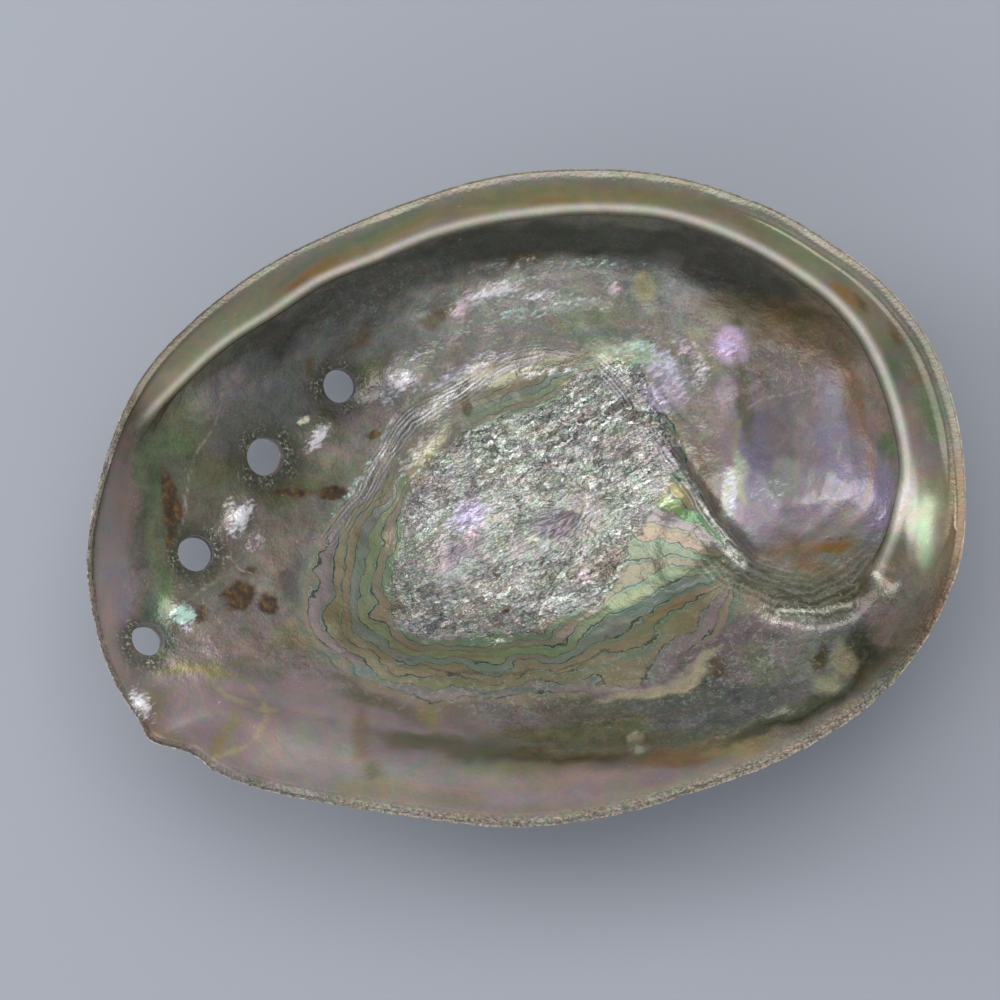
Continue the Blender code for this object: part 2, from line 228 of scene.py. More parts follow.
def back(angle, out):
    """The smooth back, out of 1 of the way from the hub to the rim. Returns points, in the last axis."""
    nick = sum(
        depth * np.exp(-((((np.degrees(angle) - at + 180.0) % 360.0 - 180.0) / half) ** 2))
        for at, half, depth in NICKS
    )
    reach = out * (rim_reach(angle) - nick * smooth((out - 0.85) / 0.15))
    x = HUB[0] + reach * np.cos(angle)
    y = HUB[1] + reach * np.sin(angle)
    flared = np.clip(flare(angle), 0.0, 1.0)
    steep = 0.42 * out**2 + 0.58 * out**12
    wide = 0.52 * out**2 + 0.48 * smooth((out - 0.33) / 0.55)
    z = rim_height(angle) * (flared * wide + (1.0 - flared) * steep)
    spire = 4.2 * np.exp(-(((x - APEX[0]) / 23.0) ** 2) - ((y - APEX[1]) / 25.0) ** 2)
    z = z - spire * (1.0 - smooth((out - 0.7) / 0.3))
    return np.stack([x, y, z], axis=-1)


def outwards(angle, out):
    """Unit normals of the back, pointing out of the shell."""
    step = 1e-3
    out = np.clip(out, 2 * step, 1.0)
    round_way = back(angle + step, out) - back(angle - step, out)
    climb_way = back(angle, out) - back(angle, out - step)
    normal = np.cross(round_way, climb_way)
    return normal / np.linalg.norm(normal, axis=-1, keepdims=True)


def back_relief(x, y):
    """How far the back stands out: growth steps, the ridge of old holes, and the groove between whorls."""
    age = share_of(rim_from_apex, APEX, x, y)
    steps = 0.55 * np.sin(2.0 * math.pi * 9.0 * age**1.3) * smooth((age - 0.08) / 0.2)
    knobs = sum(1.5 * bump(x, y, centre, 4.5) for centre in FILLED_HOLES)
    path = [centre for centre, _, _ in HOLES[::-1]] + FILLED_HOLES
    shoulder = ridge(x, y, path, [1.0] * len(path), 6.5)
    dx, dy = x - APEX[0], y - APEX[1]
    wound = np.arctan2(dy, dx) + np.log(np.maximum(np.hypot(dx, dy), 0.5) / 34.0) / 0.24
    suture = np.exp(-((np.sin(0.5 * wound) / 0.13) ** 2)) * smooth((40.0 - np.hypot(dx, dy)) / 14.0)
    return steps + knobs + shoulder - 1.1 * suture


def on_back(centre):
    """The point of the smooth back over a plan position."""
    dx, dy = centre[0] - HUB[0], centre[1] - HUB[1]
    angle = np.array([math.atan2(dy, dx)])
    return back(angle, math.hypot(dx, dy) / rim_reach(angle))[0]


def outer_point(angle, out):
    """The outside of the shell, worn flat where it rests, with a collar round each breathing hole."""
    base = back(angle, out)
    free = (1.0 - smooth((out - 0.9) / 0.1)) * smooth((base[..., 2] - 0.4) / 2.5)
    relief = back_relief(base[..., 0], base[..., 1]) * free
    for centre, radius, height in HOLES:
        away = np.linalg.norm(base - on_back(centre), axis=-1)
        relief = relief + height * (1.0 - smooth((away - radius - COLLAR_WALL) / COLLAR_SPREAD))
    point = base + relief[..., None] * outwards(angle, out)
    point[..., 2] = np.maximum(point[..., 2], WORN)
    return point


def inside_relief(x, y):
    """How far the inside stands up from a plain bowl."""
    within = share_of(scar_reach, SCAR_HUB, x, y)
    pad = 0.9 * (1.0 - smooth((within - 0.90) / 0.16)) + 0.6 * (1.0 - smooth((within - 0.55) / 0.2))
    hook = ridge(x, y, HOOK, HOOK_HEIGHTS, 3.8)
    fold = ridge(x, y, FOLD, FOLD_HEIGHTS, 2.2)
    path = [(-84.0, -47.0)] + [centre for centre, _, _ in HOLES[::-1]] + FILLED_HOLES[:3]
    channel = ridge(x, y, path, [0.4, 0.6, 0.9, 1.2, 1.2, 1.0, 0.6, 0.2], 6.0)
    funnels = sum(0.5 * bump(x, y, centre, 1.7 * radius) for centre, radius, _ in HOLES)
    return pad + hook + fold - channel - funnels


def inside(angle, out, wall):
    """The inside of the bowl, a wall's thickness in from the back."""
    point = back(angle, out) - wall[..., None] * outwards(angle, out)
    point[..., 2] += inside_relief(point[..., 0], point[..., 1]) * (1.0 - smooth((out - 0.93) / 0.07))
    return point


def wall_at(out):
    """Thickness of the shell, thinner towards the growing edge."""
    return WALL + (RIM_WALL - WALL) * smooth((out - 0.55) / 0.45)


# Rings lie closer together where the back climbs, and spokes on the side of the breathing holes.
SPOKES = 448
BACK_RINGS = 58
RIM_RINGS = 3
LIP_RINGS = 18
ROLL_RINGS = 12
BOWL_RINGS = 118
around = np.arange(SPOKES) * 2.0 * math.pi / SPOKES
angle = around + 0.35 * np.sin(around - math.radians(15.0))
full = np.ones(SPOKES)
rows = []
sides = []
shares = []


def add_ring(points, side, share):
    """Keeps one ring of the shell, with the side that it is on and how far across that side it lies."""
    rows.append(points)
    sides.append(side)
    shares.append(full * share)


for step in np.linspace(0.0, 1.0, BACK_RINGS + 1)[1:]:
    out = np.interp(step, [0.0, 0.22, 0.72, 1.0], [0.0, 0.6, 0.9, 1.0])
    add_ring(outer_point(angle, full * out), "back", out)

rim = back(angle, full)
turn = turn_reach(angle) / rim_reach(angle)
has_lip = np.clip(lip(angle), 0.0, 1.0)
lip_width = (1.0 - turn) * rim_reach(angle)
direction = np.stack([np.cos(angle), np.sin(angle), 0.0 * angle], axis=-1)
edge_z = rim[:, 2] - LIP_FALL * lip_width
top = np.clip(RIM_TOP / lip_width, 0.0, 0.4)


def across_lip(step):
    """The ring that far across the flat lip, or down the flared edge where there is no lip."""
    share = top + (1.0 - top) * step
    on_lip = rim - direction * (lip_width * share)[:, None]
    on_lip[:, 2] = rim[:, 2] + 0.25 - LIP_FALL * lip_width * (0.7 * share + 0.3 * share**2)
    out = 1.0 - (1.0 - turn) * step
    on_wall = inside(angle, out, wall_at(out))
    return on_lip * has_lip[:, None] + on_wall * (1.0 - has_lip)[:, None]


outer_edge, inner_edge = rows[-1], across_lip(0.0)
for step in np.linspace(0.0, 1.0, RIM_RINGS + 2)[1:-1]:
    add_ring(outer_edge * (1.0 - step) + inner_edge * step, "rim", step)
for step in np.linspace(0.0, 1.0, LIP_RINGS + 1):
    add_ring(across_lip(step), "lip", step)

heights = np.linspace(0.0, 1.0, 201)
under = edge_z - 2.0 * LIP_ROUND - LIP_HOLLOW
profile = back(angle[None, :], heights[:, None] * full)[..., 2]
root = np.array([np.interp(under[i], profile[:, i], heights) for i in range(SPOKES)])
below = turn - 0.03
root_out = below + (np.minimum(root, 0.97) - below) * smooth(has_lip)
foot = inside(angle, root_out, wall_at(root_out))
edge = rim - direction * (lip_width - LIP_ROUND)[:, None]
edge[:, 2] = edge_z - LIP_ROUND + 0.25
for step in np.linspace(0.0, 1.0, ROLL_RINGS + 1)[1:-1]:
    roll = math.radians(60.0 - 150.0 * min(step / 0.6, 1.0))
    rolled = edge - direction * (LIP_ROUND * math.cos(roll))
    rolled[:, 2] = edge[:, 2] + LIP_ROUND * math.sin(roll)
    late = smooth((step - 0.5) / 0.5)
    rolled = rolled * (1.0 - late) + foot * late
    out = turn - 0.03 * step
    on_wall = inside(angle, out, wall_at(out))
    add_ring(rolled * has_lip[:, None] + on_wall * (1.0 - has_lip)[:, None], "roll", step)
for step in np.linspace(0.0, 1.0, BOWL_RINGS + 1)[:-1]:
    out = root_out * (1.0 - step)
    add_ring(inside(angle, out, wall_at(out)), "bowl", step)

MIDDLE = 0.5 * (rim.min(axis=0) + rim.max(axis=0))
origin = np.array([MIDDLE[0], MIDDLE[1], WORN])
shape = np.array(rows) - origin
side = np.array(sides)[:, None]
share = np.array(shares)
lipped = np.broadcast_to(has_lip, share.shape)
bottom = outer_point(np.zeros(1), np.zeros(1))[0] - origin
middle = inside(np.zeros(1), np.full(1, 2e-3), np.full(1, WALL))[0] - origin


# What shows on the shell is placed where the camera sees it, on a level plane at the height of the rim.
MM_PER_PIXEL = 0.2048
PICTURE_ZERO = (526.5, 495.5)


def on_view(spots):
    """Where pixels of the photograph lie on the plane of the rim, in millimetres."""
    across, down = PICTURE_ZERO
    return [((px - across) * MM_PER_PIXEL, (down - py) * MM_PER_PIXEL) for px, py in spots]


def seen(places):
    """Where places show on the plane of the rim, as x and y."""
    away = places - eye
    scale = SIGHT_DISTANCE / (away @ forward)
    return away[..., 0] * scale + SIGHT_TARGET[0], (away @ upward) * scale + SIGHT_TARGET[1]


def grain(places, size, seed=0.0):
    """Smooth noise from -1 to 1, in lumps about size millimetres across."""
    spots = (places.reshape(-1, 3) / size + seed).tolist()
    return np.array([noise.noise(spot) for spot in spots]).reshape(places.shape[:-1])


def facing(places):
    """Unit normals of the rings, pointing out of the shell."""
    along = np.gradient(places, axis=0)
    across = np.roll(places, -1, axis=1) - np.roll(places, 1, axis=1)
    normal = np.cross(across, along)
    return normal / np.maximum(np.linalg.norm(normal, axis=-1, keepdims=True), 1e-9)


def from_middle(x, y, centre, long, short, turned):
    """Distance from an oval's middle, 1 at its edge, its long way turned by that many degrees."""
    cos, sin = math.cos(math.radians(turned)), math.sin(math.radians(turned))
    dx, dy = x - centre[0], y - centre[1]
    return np.hypot((dx * cos + dy * sin) / long, (dy * cos - dx * sin) / short)


def hill(x, y, centre, long, short, turned):
    """An oval hill of height 1."""
    return np.exp(-(from_middle(x, y, centre, long, short, turned) ** 2))


on_back_side = side == "back"
on_lip_side = (side == "lip") | (side == "roll")
in_bowl = (side == "bowl") | ((side == "roll") & (share > 0.6))
flared_part = np.where(on_lip_side, 1.0 - smooth(lipped * 1.6), 0.0)
inner = np.where(in_bowl, 1.0, flared_part)
view_x, view_y = seen(shape)
lumps = grain(shape, 11.0, 3.0)
ripples = grain(shape, 4.2, 9.0)
fine = grain(shape, 1.7, 5.0)
warp_x = view_x + 2.0 * grain(shape, 9.0, 21.0) + 0.9 * grain(shape, 2.8, 25.0)
warp_y = view_y + 2.0 * grain(shape, 9.0, 31.0) + 0.9 * grain(shape, 2.8, 35.0)
steady_x = view_x + 1.6 * grain(shape, 14.0, 71.0) + 0.25 * grain(shape, 3.5, 73.0)
steady_y = view_y + 1.6 * grain(shape, 14.0, 75.0) + 0.25 * grain(shape, 3.5, 77.0)
front_line = -34.0 - 14.0 * smooth((view_x + 20.0) / 20.0)
calm = np.maximum(smooth((front_line - view_y) / 6.0), smooth((-80.0 - view_x) / 3.0))
calm = np.maximum(calm, smooth((21.0 - np.hypot(view_x - 57.0, view_y - 5.0)) / 6.0) * 0.7)
relief = inner * ((0.62 - 0.35 * calm) * lumps + (0.24 - 0.18 * calm) * ripples + (0.05 - 0.04 * calm) * fine)


# The muscle scar. The animal's foot muscle held on here, and left a crinkled core like crushed foil, with
# thin terraces of nacre stepping down from it on the side of the holes and along the front.
CORE_HUB = (2.0, -4.0)
CORE = [
    (392, 590), (398, 545), (404, 501), (425, 468), (443, 446), (484, 424), (530, 408), (560, 398),
    (580, 376), (612, 366), (640, 378), (662, 420), (684, 460), (668, 484), (645, 522), (619, 563),
    (597, 603), (547, 628), (480, 640), (440, 641), (414, 638), (395, 612),
]
TERRACES = [
    (360, 497), (379, 462), (411, 424), (436, 402), (468, 380), (506, 360), (550, 350), (590, 358),
    (625, 388), (654, 430), (680, 472), (705, 515), (728, 545), (735, 570), (722, 610), (690, 645),
    (640, 675), (590, 690), (540, 698), (480, 700), (440, 700), (400, 690), (350, 672), (320, 650),
    (305, 620), (308, 575), (325, 530),
]
TERRACE_COUNT = 7.0
core_reach = outline_curve(on_view(CORE), CORE_HUB)
terrace_reach = outline_curve(on_view(TERRACES), CORE_HUB)
dx, dy = warp_x - CORE_HUB[0], warp_y - CORE_HUB[1]
bearing, reach = np.arctan2(dy, dx), np.hypot(dx, dy)
core_edge, terrace_edge = core_reach(bearing), terrace_reach(bearing)
ragged = 1.6 * ripples + 0.9 * fine
core = np.where(in_bowl, 1.0 - smooth((reach - core_edge + ragged + 0.9) / 1.6), 0.0)
descent = (reach - core_edge) / np.maximum(terrace_edge - core_edge, 1.5)
descent = np.clip(descent, -0.5, 2.0)
terraced = np.where(in_bowl, smooth((descent + 0.06) / 0.08) * (1.0 - smooth((descent - 1.02) / 0.1)), 0.0)
lobed = hill(view_x, view_y, (-19.0, 14.0), 15.0, 8.0, 48)
terraced = terraced * (1.0 - 0.8 * lobed)
stair = np.maximum(descent, 0.0) ** 0.85 * TERRACE_COUNT + 0.9 * lumps + 0.22 * ripples + 3.0
FAN_HUB = (44.7, -12.4)
fan_turn = np.degrees(np.arctan2(FAN_HUB[1] - warp_y, FAN_HUB[0] - warp_x)) + 7.0
into_fan = smooth((view_x - 8.0) / 16.0)
stair = stair + into_fan * (fan_turn / 10.0 + 0.15 * ripples + 3.0 - stair)
relief = relief + 0.07 * terraced * (1.0 - (stair % 1.0)) * smooth((stair % 1.0) / 0.12)
lean = math.radians(33.0)
crush = np.stack(
    [
        (shape[..., 0] * math.cos(lean) + shape[..., 1] * math.sin(lean)) / 2.3,
        (shape[..., 1] * math.cos(lean) - shape[..., 0] * math.sin(lean)) / 1.05,
        shape[..., 2] / 2.0,
    ],
    axis=-1,
)
crinkle = np.abs(grain(crush, 1.0, 40.0)) + 0.6 * np.abs(grain(crush, 0.55, 47.0))
flatter = smooth(0.5 + 1.4 * grain(shape, 7.0, 51.0))
relief = relief + core * (0.75 - 0.5 * flatter) * (crinkle - 0.35)

# Smooth lobes of nacre between the core and the border on the side of the holes
LOBES = [
    (-17.7, 10.3, 7.0, 2.6, 62, 0.8), (-12.6, 20.6, 3.4, 2.4, 40, 0.6), (-4.4, 22.6, 5.5, 2.6, 10, 0.8),
    (-26.0, -1.0, 4.5, 2.6, 55, 0.5), (30.0, -1.2, 3.0, 3.0, 0, 0.9), (6.0, -7.0, 5.0, 3.5, 0, 0.6),
]
for x, y, long, short, turned, height in LOBES:
    relief = relief + height * hill(warp_x, warp_y, (x, y), long, short, turned) * in_bowl

# The border of the scar: a low rope of fine ridges from the side of the holes up and over to the hook
ROPE = [
    (330, 540), (345, 515), (360, 497), (379, 462), (411, 424), (436, 402), (468, 380), (506, 360),
    (550, 350), (590, 358), (625, 392), (654, 434), (674, 470), (697, 500), (715, 525), (736, 546),
    (761, 564), (797, 576),
]
ROPE_HEIGHTS = [0.2, 0.3, 0.4, 0.5, 0.6, 0.7, 0.8, 0.8, 0.6, 0.6, 0.7, 0.8, 0.9, 0.9, 0.8, 0.6, 0.3, 0.1]
rope_away, rope_height = along_path(steady_x, steady_y, on_view(ROPE), ROPE_HEIGHTS)
rope_width = 2.2 - 0.8 * smooth((view_x - 18.0) / 4.0)
roped = np.where(in_bowl, np.exp(-((rope_away / rope_width) ** 2)) * np.minimum(rope_height / 0.5, 1.0), 0.0)
roped = roped * (1.0 - 0.75 * hill(view_x, view_y, (8.0, 29.0), 11.0, 7.0, 0))
ridges = np.cos(2.0 * math.pi * rope_away / 1.2 + 4.0 * lumps)
relief = relief + roped * (0.7 * rope_height - 0.2 + 0.02 * ridges)

# The hook round the spire's hollow: layers of nacre laid one over another
HOOK_SEEN = [(702, 542), (722, 560), (743, 575), (779, 596), (815, 602), (850, 585), (870, 560)]
HOOK_SHARES = [0.4, 0.8, 1.0, 1.0, 1.0, 0.9, 0.5]
hook_away, hook_height = along_path(steady_x, steady_y, on_view(HOOK_SEEN), HOOK_SHARES)
hooked = np.where(in_bowl, np.exp(-((hook_away / 4.2) ** 2)) * hook_height, 0.0)
relief = relief + hooked * 0.15 * np.cos(2.0 * math.pi * (hook_away + 0.5 * ripples) / 1.3)

# The spire's hollow, with low steps round its deepest place
SPIRE_SEEN = (55.5, 6.5)
dx, dy = warp_x - SPIRE_SEEN[0], (warp_y - SPIRE_SEEN[1]) * 0.82
spire_away = np.hypot(dx, dy)
spired = np.where(in_bowl, 1.0 - smooth((spire_away - 15.0) / 8.0), 0.0)
relief = relief + spired * 0.05 * np.cos(2.0 * math.pi * spire_away / 4.3 + 2.5 * lumps)

# Humps between the open holes, dimples where older holes were filled, a blister, and the crease of the flare
HUMPS = [
    (-42.3, 13.4, 5.0, 2.4, 25, 1.3), (-46.4, 15.9, 2.0, 1.2, 45, 0.7), (-59.5, -4.5, 5.0, 2.6, 55, 1.4),
    (-71.0, -22.4, 3.2, 2.4, 60, 1.1), (-78.1, -42.9, 4.0, 2.2, 40, 1.0),
    (-30.0, 20.5, 3.4, 2.4, 20, 0.9), (-48.0, 8.0, 8.0, 2.6, 15, 0.5), (22.6, -51.1, 1.8, 1.6, 0, 0.9),
    (-34.0, -52.0, 2.0, 8.0, 5, 0.3), (-60.0, -32.0, 9.0, 3.0, 20, 0.5), (28.0, -32.0, 9.0, 4.0, 30, 0.6),
    (3.0, 41.0, 16.0, 2.4, 3, 0.5), (42.0, 20.0, 2.4, 7.0, 5, 0.5), (-52.0, -13.5, 5.0, 3.5, 50, 0.5),
]
DENTS = [(-17.1, 39.4, 2.4, 1.8, 0, 0.9), (-0.3, 48.8, 1.8, 1.4, 0, 0.7), (16.1, 50.0, 1.8, 1.4, 0, 0.6),
         (8.0, -53.0, 16.0, 1.0, 1, 0.6), (54.0, -45.0, 12.0, 1.2, 24, 0.5), (-52.5, -22.5, 2.0, 2.0, 0, 0.6),
         (-60.5, -18.5, 3.6, 1.6, 30, 0.7), (-38.5, 0.5, 2.6, 1.6, 20, 0.6), (-71.5, -3.0, 1.3, 7.0, 0, 0.6)]
for x, y, long, short, turned, height in HUMPS:
    relief = relief + height * hill(view_x, view_y, (x, y), long, short, turned) * inner
for x, y, long, short, turned, depth in DENTS:
    relief = relief - depth * hill(warp_x, warp_y, (x, y), long, short, turned) * inner

# The flat lip is smooth and glossy, with a fine groove beside its outer edge at the spire end. The broken
# growing edge is granular.
bearing_deg = np.degrees(np.broadcast_to((angle + math.pi) % (2.0 * math.pi) - math.pi, share.shape))
spire_end = smooth((bearing_deg + 35.0) / 15.0) * (1.0 - smooth((bearing_deg - 45.0) / 30.0))
from_rim = np.where(side == "lip", share * lip_width, 0.0)
on_flat = (side == "lip") * lipped
relief = relief - 0.35 * on_flat * spire_end * np.exp(-(((from_rim - 1.6) / 0.6) ** 2))
relief = relief + 0.10 * on_flat * lumps + 0.03 * on_flat * np.sin(from_rim * 1.1 + 1.5 * lumps)
broken = 1.0 - smooth(lipped * 1.5)
turned_from_front = (bearing_deg + 90.0 + 180.0) % 360.0 - 180.0
hole_side = smooth((-turned_from_front - 48.0) / 12.0) * (1.0 - smooth((-turned_from_front - 105.0) / 20.0))
rim_grain = 1.1 - 0.8 * hole_side
edging = np.where(side == "rim", 1.0, 0.0)
edging = edging + np.where(side == "lip", np.exp(-((from_rim / rim_grain) ** 2)), 0.0)
edging = edging + np.where(on_back_side, smooth((share - 0.985) / 0.012), 0.0)
edging = edging * (0.15 + 0.85 * broken)
grains = 0.5 + 0.5 * fine + 0.5 * np.abs(ripples)
relief = relief - np.clip(edging, 0.0, 1.0) * (0.05 + 0.4 * broken) * grains

# The back: growth steps crossed by low ribs, grown over by lime crust and small tubes of sea life
dx, dy = shape[..., 0] - APEX[0], shape[..., 1] - APEX[1]
age = share_of(rim_from_apex, APEX, shape[..., 0], shape[..., 1])
free = np.where(on_back_side, smooth((share - 0.02) / 0.2) * (1.0 - smooth((share - 0.95) / 0.04)), 0.0)
free = free * smooth((shape[..., 2] - 0.2) / 2.0)
growth_lines = np.sin(2.0 * math.pi * (46.0 * age + 0.5 * lumps))
ribs = np.sin(26.0 * np.arctan2(dy, dx) + 2.0 * lumps)
crust = smooth((grain(shape, 9.0, 61.0) + 0.5 * grain(shape, 3.0, 63.0) - 0.05) / 0.3)
crusty = 0.5 * crust * (0.7 + 0.6 * fine)
relief = relief + free * (0.10 * growth_lines + 0.12 * ribs + crusty + 0.12 * ripples)

shape = shape + relief[..., None] * facing(shape)
low, high = [np.array(corner) * 1000.0 for corner in cad_box]
shape = np.clip(shape, low, high)

# The mesh itself. A flat grid is added, one row of it for each ring. Its two ends close on the middles of the
# back and of the bowl, and its sides meet in a seam that is merged.
row_count = len(rows) + 1
bpy.ops.object.select_all(action="DESELECT")
bpy.ops.mesh.primitive_grid_add(x_subdivisions=SPOKES, y_subdivisions=row_count, size=2.0)
shell = bpy.context.object
shell.name = "abalone_shell"
shell.data.name = "abalone_shell"
sheet = np.zeros(len(shell.data.vertices) * 3)
shell.data.vertices.foreach_get("co", sheet)
sheet = sheet.reshape(-1, 3)
spoke = np.rint((sheet[:, 0] + 1.0) * 0.5 * SPOKES).astype(int) % SPOKES
row = np.rint((sheet[:, 1] + 1.0) * 0.5 * row_count).astype(int)
corners = shape[np.clip(row - 1, 0, len(rows) - 1), spoke]
corners[row == 0] = bottom
corners[row == row_count] = middle
shell.data.vertices.foreach_set("co", (corners * METRES).ravel())
shell.data.update()
bpy.ops.object.mode_set(mode="EDIT")
bpy.ops.mesh.select_all(action="SELECT")
bpy.ops.mesh.remove_doubles(threshold=0.001 * METRES)
bpy.ops.mesh.normals_make_consistent(inside=False)
bpy.ops.object.mode_set(mode="OBJECT")


# Breathing holes. Each is bored through the wall and its collar, and is wider at its inside mouth. The old
# ones towards the spire are filled.
BORE_TAPER = 0.9
BORE_LEANS = [0.3, 0.3, 0.3, 0.62]
bores = []
for ((x, y), radius, height), lean in zip(HOLES, BORE_LEANS):
    centre = on_back((x, y)) - origin
    dx, dy = x - HUB[0], y - HUB[1]
    bore_angle = np.array([math.atan2(dy, dx)])
    square = outwards(bore_angle, math.hypot(dx, dy) / rim_reach(bore_angle))[0]
    axis = Vector(lean * square + (1.0 - lean) * forward).normalized()
    low_end, high_end = -WALL - 12.0, height + 7.0
    place = Vector(centre) + axis * 0.5 * (low_end + high_end)
    bpy.ops.object.select_all(action="DESELECT")
    bpy.ops.mesh.primitive_cone_add(
        vertices=56,
        radius1=(radius + BORE_TAPER) * METRES,
        radius2=radius * METRES,
        depth=(high_end - low_end) * METRES,
        location=place * METRES,
        rotation=axis.to_track_quat("Z", "Y").to_euler(),
    )
    bores.append(bpy.context.object)
for bore in bores:
    bore.select_set(True)
bpy.ops.object.join()
bores = bpy.context.object
cut = shell.modifiers.new("bores", "BOOLEAN")
cut.object = bores
cut.operation = "DIFFERENCE"
cut.solver = "MANIFOLD"
bpy.ops.object.select_all(action="DESELECT")
shell.select_set(True)
bpy.context.view_layer.objects.active = shell
bpy.ops.object.modifier_apply(modifier=cut.name)
bpy.data.objects.remove(bores)
bpy.ops.object.shade_smooth_by_angle(angle=math.radians(50.0))


# The colours of the nacre, with painted shade and painted highlights among them where noted. They are laid
# on as soft strokes over a silvery ground. Each has its colour, its place in the photograph, its half length
# and half width in pixels of it, the way that it is turned, and its strength.
NACRE = {
    "blush": (190, 170, 168), "gold": (176, 168, 122), "clay": (150, 112, 68), "sage": (140, 152, 118),
    "mauve": (160, 145, 160), "ochre": (160, 124, 66), "green": (104, 140, 96), "teal": (94, 130, 118),
    "olive_brown": (100, 84, 40), "rust": (138, 92, 52), "mint": (215, 235, 215),
    "charcoal": (74, 78, 76), "slate": (108, 113, 117), "olive": (108, 108, 72),
    "silver": (178, 180, 182), "cream": (212, 208, 182), "lilac": (188, 178, 206),
    "bright_lilac": (215, 195, 235), "blue_lilac": (150, 145, 186), "deep_olive": (78, 80, 58),
    "white": (232, 234, 236), "pale_teal": (176, 206, 200), "cream_grey": (178, 168, 150),
    "blush_grey": (168, 156, 156), "olive_grey": (112, 112, 100), "clay_grey": (138, 122, 100),
    "dark_brown": (72, 50, 26), "olive_gold": (164, 154, 100), "dark_olive": (74, 78, 52),
}
# The mint stroke at the lip's right end is a painted highlight, a reflection on the lip.
LIP_PAINT = [
    ("blush", 165, 388, 30, 12, 45, 0.8), ("gold", 182, 370, 24, 8, 42, 0.6),
    ("clay", 148, 403, 12, 6, 45, 0.7), ("sage", 205, 343, 48, 12, 40, 0.6),
    ("mauve", 222, 342, 34, 7, 38, 0.7), ("sage", 258, 306, 42, 13, 35, 0.8),
    ("ochre", 318, 270, 46, 9, 27, 1), ("gold", 350, 262, 34, 7, 24, 0.7),
    ("green", 345, 238, 62, 9, 27, 0.9), ("teal", 312, 252, 30, 6, 32, 0.7),
    ("olive_brown", 432, 206, 44, 8, 14, 0.9), ("green", 395, 227, 44, 7, 22, 0.8),
    ("blush", 438, 229, 36, 6, 17, 0.7), ("green", 495, 196, 75, 8, 6, 0.8),
    ("gold", 560, 206, 66, 7, 1, 0.7), ("ochre", 585, 182, 40, 5, 0, 0.6), ("clay", 640, 177, 80, 6, -5, 0.7),
    ("green", 702, 201, 26, 7, -12, 0.8), ("clay", 745, 222, 40, 6, -26, 0.8),
    ("sage", 792, 246, 55, 13, -36, 0.7), ("teal", 838, 290, 24, 12, -42, 0.6),
    ("ochre", 853, 299, 28, 9, -40, 0.9), ("blush", 812, 268, 30, 6, -38, 0.6),
    ("rust", 898, 330, 14, 7, -50, 0.8), ("green", 906, 352, 16, 24, -60, 0.8),
    ("mauve", 884, 356, 8, 30, -60, 0.6), ("clay", 921, 380, 22, 7, -5, 0.8),
    ("green", 940, 420, 12, 28, 10, 0.7), ("blush", 914, 440, 14, 48, 10, 0.7),
    ("mauve", 936, 452, 14, 20, 5, 0.7), ("sage", 950, 480, 8, 40, 2, 0.5),
    ("mint", 928, 528, 15, 34, 2, 0.9), ("blush", 908, 595, 14, 40, -14, 0.7),
    ("sage", 928, 590, 8, 30, -12, 0.5),
]
# The charcoal and slate strokes are painted shade in the hollow under the lip, and the silver, mint, cream
# and lilac ones painted highlights on the upper bowl.
UNDER_LIP_PAINT = [
    ("charcoal", 262, 350, 60, 20, 40, 0.8), ("charcoal", 350, 300, 80, 20, 30, 0.8),
    ("charcoal", 470, 248, 90, 16, 14, 0.9), ("charcoal", 600, 240, 120, 16, 0, 0.9),
    ("charcoal", 720, 268, 90, 22, -20, 0.95), ("charcoal", 800, 315, 60, 14, -42, 0.5),
    ("slate", 330, 330, 40, 20, 35, 0.6), ("slate", 400, 290, 70, 26, 18, 0.7),
    ("olive", 443, 303, 13, 12, 0, 0.9), ("olive_brown", 430, 318, 12, 8, 30, 0.7),
    ("olive_brown", 526, 258, 15, 8, 0, 0.8), ("silver", 480, 290, 64, 16, 6, 0.8),
    ("silver", 555, 278, 60, 14, 0, 0.5), ("slate", 640, 268, 60, 14, 0, 0.6),
    ("sage", 588, 318, 34, 9, 5, 0.6), ("gold", 642, 286, 10, 16, 0, 0.6),
    ("mint", 622, 356, 44, 12, -6, 0.7), ("teal", 600, 335, 50, 6, -6, 0.4),
    ("lilac", 665, 388, 26, 22, 0, 0.8), ("silver", 692, 318, 26, 40, 30, 0.6),
    ("cream", 706, 345, 12, 26, 20, 0.6), ("silver", 395, 378, 30, 12, 20, 0.6),
]
# The mint streak, the bright lilac stroke below it and the silver spot low in the spire's hollow are painted
# highlights.
SPIRE_PAINT = [
    ("olive_brown", 765, 318, 70, 24, -16, 0.6), ("clay_grey", 800, 345, 50, 22, -20, 0.6),
    ("slate", 735, 365, 60, 30, -10, 0.3), ("bright_lilac", 731, 348, 17, 15, 0, 1),
    ("bright_lilac", 728, 398, 12, 24, 5, 0.6), ("mauve", 800, 440, 85, 80, 0, 0.6),
    ("blue_lilac", 752, 470, 18, 62, 0, 0.8), ("blue_lilac", 838, 440, 24, 62, 5, 0.7),
    ("lilac", 785, 500, 52, 34, 0, 0.7), ("slate", 775, 440, 24, 34, 0, 0.5),
    ("silver", 782, 478, 18, 20, 0, 0.8), ("olive", 742, 400, 8, 46, 8, 0.7),
    ("mint", 733, 490, 10, 36, -4, 0.9), ("bright_lilac", 740, 512, 8, 20, -4, 0.5),
    ("blush", 872, 392, 20, 40, 15, 0.6), ("clay", 850, 400, 14, 44, 8, 0.6),
    ("green", 886, 448, 13, 15, 0, 0.8), ("blue_lilac", 876, 500, 18, 44, 0, 0.8),
    ("clay", 800, 551, 30, 9, 10, 0.35), ("ochre", 806, 548, 20, 9, 0, 0.3),
    ("ochre", 836, 543, 18, 6, 10, 0.9), ("olive_brown", 893, 545, 9, 40, -4, 0.8),
    ("rust", 888, 568, 12, 22, -20, 0.6), ("sage", 795, 588, 70, 15, -2, 0.7),
    ("clay", 818, 566, 30, 6, -4, 0.5), ("olive", 800, 604, 60, 5, -3, 0.6),
]
